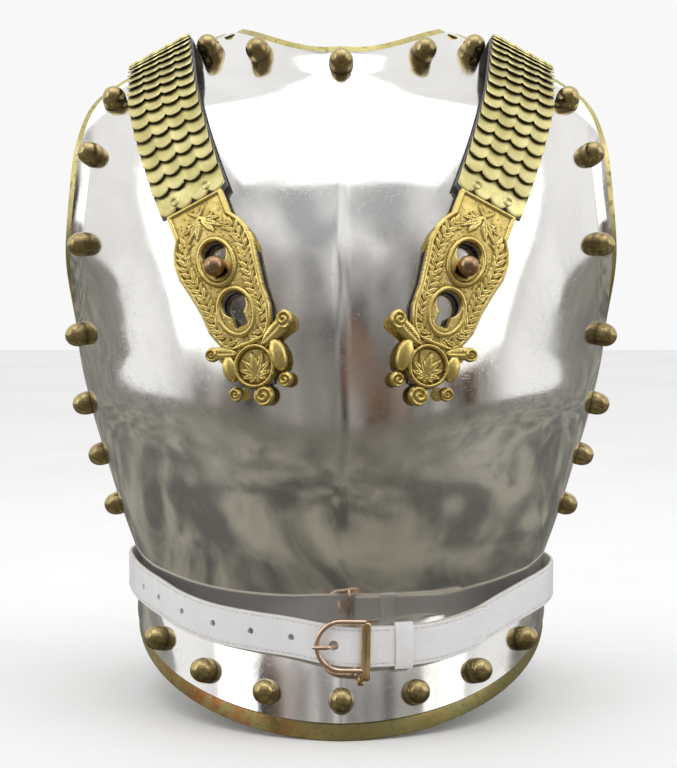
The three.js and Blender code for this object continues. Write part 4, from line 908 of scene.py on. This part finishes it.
cast_brass = brass_finish("cast brass", 0.00005, Bright=(0.88, 0.70, 0.25, 1), Dull=(0.70, 0.53, 0.16, 1),
                          Dirt=(0.10, 0.06, 0.015, 1), Patch_size=80.0, Gloss=0.27)
form, grime_and_shade = cut_out(cast_outline, cast_relief, STRAP_LEATHER + 0.3, 32, -1, 134.4, 0.46)
# Painted shade, with grime, darkens the hollows of the relief; its raised parts are rubbed bright.
on_both_shoulders("cast_end_plate", form, cast_brass, [("strap_end_plate", "")],
                  {"grime_and_shade": np.clip(grime_and_shade * 1.15 - 0.2, 0, 1),
                   "rubbed": np.clip(0.35 - 1.2 * grime_and_shade, 0, 1) * 2})

# ---------------------------------------------------------------- studs
# A brass ball on a short neck is riveted to the breast plate under each strap. The upper
# keyhole drops over the ball and its slot slides under it. Both have turned reddish.

STUD_RADIUS = 6.35
stud_brass = brass_finish("stud brass", 0.00002, Bright=(0.50, 0.33, 0.20, 1), Dull=(0.28, 0.15, 0.09, 1),
                          Dirt=(0.05, 0.03, 0.02, 1), Patch_size=110.0, Gloss=0.2)
neck = STRAP_LEATHER + CAST_BASE + STRAP_CLEAR + 0.9
profile = [(4.2, 0), (4.2, 0.6), (2.9, 1.2), (2.7, 2.4), (2.7, neck - 1)]
for angle in np.linspace(-1.12, np.pi / 2 - 0.03, 26):
    profile.append((STUD_RADIUS * math.cos(angle), neck + STUD_RADIUS * (0.82 + math.sin(angle))))
spot = on_strap(0, KEYHOLES[1] - 4.6, 0)
side, t = place_at(BREAST, spot[0], spot[2])
normal = plate_facing(BREAST, side, t)
form = stood(turned(profile), plate_point(BREAST, side, t) + normal * 0.2, normal)
height = (form[0] - plate_point(BREAST, side, t)) @ normal
# Painted shade, with grime, darkens the neck and foot under the ball; the top of the ball is rubbed bright.
on_both_shoulders("stud", form, stud_brass, [("strap_stud", "")],
                  {"grime_and_shade": np.clip(1 - (height - 6) / 4, 0, 1),
                   "rubbed": np.clip((height - 15) / 4, 0, 0.5)})

# ---------------------------------------------------------------- rear anchors
# Behind the shoulder a plain brass plate holds the end of each strap to the back plate with
# two round-headed rivets.

ANCHOR = (row_start(ROWS) + SCALE_ROOT, STRAP_END - 0.5, 21)


def anchor_outline(u, v):
    low, high, half = ANCHOR
    return np.hypot(np.maximum(np.abs(u) - half + 2, 0),
                    np.maximum(np.abs(v - (low + high) / 2) - (high - low) / 2 + 2, 0)) - 2


def anchor_top(u, v):
    top = STRAP_LEATHER + 2.1 - 0.5 * (1 - np.clip(-anchor_outline(u, v) / 0.8, 0, 1)) ** 2
    for at_u in (-12, 12):
        off = circle(u, v, at_u, (ANCHOR[0] + ANCHOR[1]) / 2, 0) / 3.4
        top = top + 1.6 * np.sqrt(np.clip(1 - off ** 2, 0, 1))
    return top


# Painted shade, with grime, darkens the low parts round the rivet heads and the rim.
form, grime_and_shade = cut_out(anchor_outline, anchor_top, STRAP_LEATHER + 0.5, 21.6, ANCHOR[0] - 0.6,
                       ANCHOR[1] + 0.6, 0.4)
on_both_shoulders("rear_anchor", form, cast_brass, [("strap_anchor", "")], {"grime_and_shade": grime_and_shade})

# ---------------------------------------------------------------- waist belt
# A white leather belt 24 mm wide lies in the waist of the cuirass. Its face is painted white,
# its cut edges are cream, it is stitched along both edges, and seven holes are punched in it.

BELT_HALF = 12
BELT_LEATHER = 2
WAIST_MIDDLE = -24
STITCH_RISE = 9.9
WAIST = np.array([
    (0, 138.4, 54.8), (12, 137.1, 53.6), (24, 135.5, 54.3), (36, 133.5, 58.3), (48, 131.8, 65),
    (60, 132, 69.4),
    (72, 133.6, 71), (84, 137.8, 72), (96, 142.2, 73), (108, 141, 75), (120, 138.4, 77), (144, 136.8, 79),
    (180, 133.4, 80), (216, 137, 80), (240, 139, 80), (252, 140.2, 80), (264, 142, 79), (276, 137, 76.6),
    (288, 133.2, 74), (300, 131.6, 71), (312, 131.4, 65.8), (324, 132.2, 62), (336, 133.4, 60),
    (348, 135.4, 58.2)])
BELT_LAYERS = np.array([
    (4, 1.6), (12, 1.6), (20, 1.6), (32, 0), (335, 0), (345, 0.6), (349, 2), (354, 3.6), (358.5, 5),
    (361.8, 6.1), (364.6, 6.1), (369, 4.3), (373, 4.1), (380, 4.1), (392, 2.5), (401.8, 2.4)])
BELT_TIP = np.array([(397.4, 12), (398.6, 11.6), (399.6, 10.6), (400.4, 9), (401, 7), (401.5, 4.6),
                     (401.8, 1.5)])
BELT_HOLES = ((358.2, 3.0), (347.5, 2.0), (336.2, 2.0), (324.2, 2.0), (312, 2.0), (300, 2.0), (289, 2.0))


def waist_at(angle, column):
    """A column of the waist table, smoothly between its rows."""
    angle = np.mod(angle, 360)
    i = np.searchsorted(WAIST[:, 0], angle, side="right") - 1
    ends = np.append(WAIST[:, 0], 360)
    f = (angle - ends[i]) / (ends[i + 1] - ends[i])
    a, b, c, d = (WAIST[(i + k) % len(WAIST), column] for k in (-1, 0, 1, 2))
    return b + 0.5 * f * (c - a + f * (2 * a - 5 * b + 4 * c - d + f * (3 * (b - c) + d - a)))


def on_waist(angle, off, rise):
    """A point round the waist: angle from the front to the wearer's left, distance off, height."""
    angle, off, rise = np.broadcast_arrays(*(np.asarray(value, float) for value in (angle, off, rise)))
    turn = np.radians(angle)
    out = waist_at(angle, 1) + off
    return np.stack([np.sin(turn) * out, WAIST_MIDDLE - np.cos(turn) * out, waist_at(angle, 2) + rise], -1)


def layer_off(angle):
    """How far the belt's inner face stands off the waist, eased over 3 degrees."""
    return np.mean([np.interp(angle + shift, *BELT_LAYERS.T) for shift in np.linspace(-1.5, 1.5, 7)], axis=0)


def belt_profile():
    """The belt's section as (share of the half width, height off the inner face, cut edge)."""
    face = [(rise, BELT_LEATHER + 0.25 - 0.35 * math.exp(-((abs(rise) * BELT_HALF - STITCH_RISE) / 0.5) ** 2)
             - 0.25 * abs(rise) ** 4, 0) for rise in np.linspace(-0.955, 0.955, 49)]
    corner = [(0.985, BELT_LEATHER - 0.12, 0.3), (1, BELT_LEATHER - 0.5, 1), (1, 0.5, 1), (0.985, 0.12, 0.6)]
    inner = [(rise, 0, 0) for rise in np.linspace(0.94, -0.94, 7)]
    return np.array(face + corner + inner + [(-rise, off, cut) for rise, off, cut in reversed(corner)])


white_leather, tree, surface = new_finish("white leather", 0.0, Coat_Weight=0.25, Coat_Roughness=0.3)
grain = use_effect(tree, leather_grain, Pebbles=1300.0, Creases=120.0)
patches = use_effect(tree, cloudy_patches, Size=35.0, Low=0.42, High=0.75)["Patches"]
cut_edge = node(tree, "Attribute", attribute_name="cut_edge").outputs["Fac"]
colour = blended(tree, combined(tree, "MULTIPLY", patches, 0.4), (0.86, 0.86, 0.87, 1), (0.76, 0.76, 0.75, 1))
colour = blended(tree, combined(tree, "MULTIPLY", grain["Rubbed"], 0.15), colour, (0.55, 0.53, 0.49, 1))
colour = blended(tree, cut_edge, colour, (0.72, 0.65, 0.53, 1))
tree.links.new(colour, surface["Base Color"])
tree.links.new(ranged(tree, patches, 0, 1, 0.34, 0.5), surface["Roughness"])
tree.links.new(node(tree, "Bump",
                    {"Height": grain["Height"], "Strength": 1.0, "Distance": 0.0001}).outputs[0],
               surface["Normal"])

profile = belt_profile()
angles = np.concatenate([np.arange(5.2, 397.2, 0.8), np.linspace(397.4, 401.8, 14)])
half = np.interp(angles, *BELT_TIP.T)[:, None]
angle_grid = angles[:, None]
sections = on_waist(angle_grid, layer_off(angle_grid) + profile[:, 1], profile[:, 0] * half)
belt = make_piece("belt_leather", loft(sections), white_leather, ["belt_strap"],
                  {"cut_edge": np.tile(profile[:, 2], len(angles))}, crease=50)

punches = []
for angle, radius in BELT_HOLES:
    bore = on_waist(angle, np.array([-3.0, 20.0]), 0)
    axis = unit(bore[1] - bore[0])
    pin = turned([(radius, 0), (radius, 23)], 20)
    punches.append(stood(pin, bore[0], axis))
points, faces = gathered(punches)
punch_mesh = bpy.data.meshes.new("punches")
punch_mesh.from_pydata(((points + (0, SEAM_Y, 0)) * MM).tolist(), [], faces)
punch = bpy.data.objects.new("punches", punch_mesh)
bpy.context.scene.collection.objects.link(punch)
cut = belt.modifiers.new("holes", "BOOLEAN")
cut.operation = "DIFFERENCE"
cut.solver = "EXACT"
cut.object = punch
punched = bpy.data.meshes.new_from_object(belt.evaluated_get(bpy.context.evaluated_depsgraph_get()))
belt.modifiers.clear()
belt.data = punched
bpy.data.objects.remove(punch)

# ---------------------------------------------------------------- stitching of the belt
# White thread, three stitches to the centimetre, sunk in a groove near each edge of the belt.

STITCH_LENGTH = 1.15                 # in degrees round the waist, about 2.8 mm
STITCH_PITCH = 1.45
THREAD_RADIUS = 0.33

white_thread, tree, surface = new_finish("white thread", 0.0, Roughness=0.7)
patches = use_effect(tree, cloudy_patches, Size=300.0)["Patches"]
tree.links.new(blended(tree, patches, (0.80, 0.79, 0.76, 1), (0.60, 0.58, 0.54, 1)), surface["Base Color"])

stitches = []
for rise in (-STITCH_RISE, STITCH_RISE):
    for start in np.arange(14, 397, STITCH_PITCH):
        along = np.linspace(0, 1, 5)
        angle = start + along * STITCH_LENGTH
        sunk = THREAD_RADIUS * (1 - 1.9 * np.abs(2 * along - 1) ** 3)
        ring = np.arange(6) * np.pi / 3
        off = layer_off(angle)[:, None] + BELT_LEATHER - 0.12 + sunk[:, None] + THREAD_RADIUS * np.cos(ring)
        stitches.append(loft(on_waist(angle[:, None], off, rise + THREAD_RADIUS * np.sin(ring))))
make_piece("belt_stitching", gathered(stitches), white_thread)

# ---------------------------------------------------------------- keeper
# A narrow loop of the same white leather that holds the free end of the belt down.

KEEPER_ANGLES = (12.9, 17.6)
KEEPER_LEATHER = 1.2
KEEPER_INSIDE = (1.25, 6.7)


def keeper_loop():
    """Sections round the belt: a flat strip of leather with rounded edges."""
    low, high = KEEPER_INSIDE
    tall, deep, corner = BELT_HALF + 0.8, (high - low) / 2, 1.3
    sections = []
    for angle in np.linspace(0, 2 * np.pi, 72, endpoint=False):
        way = np.array([math.cos(angle), math.sin(angle)])
        far = np.array([deep - corner, tall - corner])
        reach = min(far / np.maximum(np.abs(way), 1e-6))
        spot = np.clip(way * reach, -far, far)
        out = unit(way * (np.abs(spot) > far - 1e-6) + way * 0.15)
        inside = spot + out * corner
        section = []
        for share, depth in ((0, 0.3), (0.06, 0), (0.94, 0), (1, 0.3), (1, 0.9), (0.94, 1.2), (0.06, 1.2),
                             (0, 0.9)):
            off, rise = inside + out * depth * KEEPER_LEATHER / 1.2
            turn = KEEPER_ANGLES[0] + share * (KEEPER_ANGLES[1] - KEEPER_ANGLES[0])
            section.append(on_waist(turn, (low + high) / 2 + off, rise))
        sections.append(section)
    return loft(np.array(sections), ring=True)


edge_marks = np.tile([0.8, 0, 0, 0.8, 0.8, 0, 0, 0.8], 72)
make_piece("belt_keeper_loop", keeper_loop(), white_leather, ["belt_keeper"],
           {"cut_edge": edge_marks})

# ---------------------------------------------------------------- buckle
# A D of round wire, plated the colour of rose gold, with a broad flat bar on its straight side
# in a yellower gold. Inside it a thin bar holds the belt and the prong.

WIRE = 1.5
BELT_Z = 55
FRAME_HALF = 14.5
ARC_X = 0
BAR_X = 14.7
LEFT_Y, RIGHT_Y = -170.1, -171.8


def rod(path, wide, high, across, sides=18):
    """A bar with an oval section along a path; across gives the direction of its height."""
    path = np.array(path, float)
    ahead = unit(np.gradient(path, axis=0))
    aside = unit(np.cross(ahead, across))
    up = np.cross(aside, ahead)
    angle = np.arange(sides) * 2 * np.pi / sides
    wide, high = (np.broadcast_to(size, len(path))[:, None, None] / 2 for size in (wide, high))
    return loft(path[:, None] + aside[:, None] * np.cos(angle)[:, None] * wide
                + up[:, None] * np.sin(angle)[:, None] * high)


rose_gold = brass_finish("rose gold plate", 0.000005, Bright=(0.90, 0.66, 0.50, 1),
                         Dull=(0.74, 0.50, 0.36, 1),
                         Dirt=(0.25, 0.14, 0.09, 1), Patch_size=120.0, Tarnish=0.6, Gloss=0.12)
yellow_gold = brass_finish("yellow gold plate", 0.000005, Bright=(0.86, 0.64, 0.34, 1),
                           Dull=(0.62, 0.42, 0.20, 1),
                           Dirt=(0.2, 0.12, 0.06, 1), Patch_size=120.0, Tarnish=0.8, Gloss=0.12)
bend = np.linspace(np.pi / 2, 3 * np.pi / 2, 60)
wire = [(BAR_X - 14.7 * k / 12, 0, BELT_Z + FRAME_HALF) for k in range(12)]
wire += [(ARC_X + FRAME_HALF * math.cos(a), 0, BELT_Z + FRAME_HALF * math.sin(a)) for a in bend]
wire += [(14.7 * k / 12, 0, BELT_Z - FRAME_HALF) for k in range(1, 13)]
wire = np.array(wire)
share = (wire[:, 0] - ARC_X + FRAME_HALF) / (BAR_X - ARC_X + FRAME_HALF)
wire[:, 1] = LEFT_Y + (RIGHT_Y - LEFT_Y) * share
front = np.array((0.0, -1.0, 0.0))
inner_path = [(8, RIGHT_Y + 0.5, BELT_Z + FRAME_HALF), (8, -167, BELT_Z + FRAME_HALF - 0.4)]
inner_path += [(8, -165, BELT_Z + z) for z in np.linspace(FRAME_HALF - 1.6, 1.6 - FRAME_HALF, 12)]
inner_path += [(8, -167, BELT_Z + 0.4 - FRAME_HALF), (8, RIGHT_Y + 0.5, BELT_Z - FRAME_HALF)]
frame_form = gathered([rod(wire, 2 * WIRE, 2 * WIRE, front), rod(inner_path, 2.1, 2.1, (1.0, 0, 0), 12)])
make_piece("buckle_wire", frame_form, rose_gold, ["buckle_frame"])

bar_z = np.concatenate([[-17.5, -17.4, -17.1, -16.6], np.linspace(-15.5, 15.5, 12), [16.6, 17.1, 17.4, 17.5]])
bar_wide = np.interp(np.abs(bar_z), (15.5, 16.6, 17.1, 17.4, 17.5), (5.6, 5.2, 4.4, 3.2, 1.5))
bar_path = [(BAR_X - 0.3 + 0.02 * z, RIGHT_Y, 52 + z) for z in bar_z]
make_piece("buckle_flat_bar", rod(bar_path, bar_wide, bar_wide * 0.54, front, 24), yellow_gold)

# ---------------------------------------------------------------- prong
# A tapered rod bent round the inner bar. It comes up through the first hole and rests on the
# round side of the frame.

PRONG = ((8, -163.2, 2.2), (5.8, -164.2, 2.4), (3.5, -165.4, 2.5), (1, -166.2, 2.5), (-1.5, -166.6, 2.5),
         (-3.7, -167.4, 2.4), (-5.2, -169.4, 2.4), (-6.4, -171, 2.4), (-8, -172.3, 2.3), (-9.8, -172.8, 2.3),
         (-12, -173, 2.2), (-14.5, -173.1, 2), (-16, -172.9, 1.9), (-17.1, -172.5, 1.5), (-17.6, -172.2, 0.6))
prong = np.array(PRONG)
path = np.stack([prong[:, 0], prong[:, 1], np.full(len(prong), BELT_Z - 0.6)], -1)
knuckle = stood(turned([(1.5, -1.6), (2.7, -1.5), (2.7, 1.5), (1.5, 1.6)], 24),
                np.array((8, -165, BELT_Z - 0.6)),
                np.array((0.0, 0.0, 1.0)))
prong_form = gathered([rod(path, prong[:, 2] * 0.8, prong[:, 2], (0, 0, 1.0), 14), knuckle])
make_piece("buckle_tongue", prong_form, rose_gold, ["buckle_prong"])

# ---------------------------------------------------------------- studio
# A plain pale floor, soft white light from above and from both sides, and a darker room that
# only the polished metal sees, in front of the cuirass.

floor_mesh = bpy.data.meshes.new("floor")
floor_mesh.from_pydata([(x * 8, y * 8, -0.0003) for x, y in ((-1, -1), (1, -1), (1, 1), (-1, 1))], [],
                       [(0, 1, 2, 3)])
floor = bpy.data.objects.new("floor", floor_mesh)
bpy.context.scene.collection.objects.link(floor)
floor_finish, tree, surface = new_finish("pale floor", 0.0, Roughness=0.6)
patches = use_effect(tree, cloudy_patches, Size=2.0)["Patches"]
pale = blended(tree, patches, (0.96, 0.96, 0.96, 1), (0.93, 0.93, 0.93, 1))
dusky = blended(tree, use_effect(tree, cloudy_patches, Size=3.0, Wander=1.5)["Patches"],
                (0.06, 0.057, 0.045, 1), (0.30, 0.28, 0.22, 1))
mirrored_floor = node(tree, "LightPath").outputs["Is Glossy Ray"]
tree.links.new(blended(tree, mirrored_floor, pale, dusky), surface["Base Color"])
floor_mesh.materials.append(floor_finish)

world = bpy.data.worlds.new("studio")
bpy.context.scene.world = world
world.use_nodes = True
tree = world.node_tree
view_way = node(tree, "TexCoord").outputs["Generated"]
split = node(tree, "SeparateXYZ", {"Vector": view_way}).outputs
streaks = node(tree, "TexNoise",
               {"Vector": node(tree, "Mapping", {"Vector": view_way, "Scale": (1, 1, 0.25)}).outputs[0],
                                  "Scale": 5.0, "Detail": 4.0, "Distortion": 0.3}).outputs[0]
warm = node(tree, "TexNoise", {"Vector": view_way, "Scale": 3.0, "Detail": 2.0}).outputs[0]
room = blended(tree, ranged(tree, streaks, 0.38, 0.66, 0, 1), (0.045, 0.043, 0.04, 1), (0.50, 0.48, 0.45, 1))
room = blended(tree, ranged(tree, warm, 0.52, 0.7, 0, 0.55), room, (0.28, 0.14, 0.08, 1))
front_share = ranged(tree, split["Y"], -0.5, -0.05, 1, 0, True)
high_share = ranged(tree, split["Z"], 0.3, 0.75, 0, 1, True)
ceiling = blended(tree, ranged(tree, streaks, 0.4, 0.62, 0, 1), (0.48, 0.48, 0.49, 1), (0.95, 0.95, 0.95, 1))
room = blended(tree, high_share, room, ceiling)
around = blended(tree, front_share, (1.0, 1.0, 1.0, 1), room)
seen = node(tree, "LightPath").outputs["Is Camera Ray"]
shown = blended(tree, seen, around, (0.94, 0.94, 0.94, 1))
tree.links.new(shown, tree.nodes["Background"].inputs["Color"])


def soft_light(name, place, aim, size, watts):
    data = bpy.data.lights.new(name, "AREA")
    data.shape = "RECTANGLE"
    data.size, data.size_y = size
    data.energy = watts
    light = bpy.data.objects.new(name, data)
    bpy.context.scene.collection.objects.link(light)
    light.location = place
    way = Vector(aim) - Vector(place)
    light.rotation_euler = way.to_track_quat("-Z", "Y").to_euler()


soft_light("ceiling light", (0, -0.5, 2.4), (0, 0, 0.2), (2.4, 1.8), 12)
soft_light("left light", (-2.0, -1.0, 1.2), (0, 0, 0.25), (1.0, 1.6), 6)
soft_light("right light", (2.0, -1.0, 1.2), (0, 0, 0.25), (1.0, 1.6), 6)

camera_data = bpy.data.cameras.new("camera")
camera_data.lens = 82.5
camera_data.sensor_width = 36
camera_data.clip_end = 50
camera = bpy.data.objects.new("camera", camera_data)
bpy.context.scene.collection.objects.link(camera)
camera.location = (-0.0017, -1.2 + SEAM_Y * MM, 0.259)
camera.rotation_euler = (math.radians(90 - 2.73), 0, 0)
bpy.context.scene.camera = camera
bpy.context.scene.view_settings.view_transform = "Standard"

bpy.context.view_layer.update()
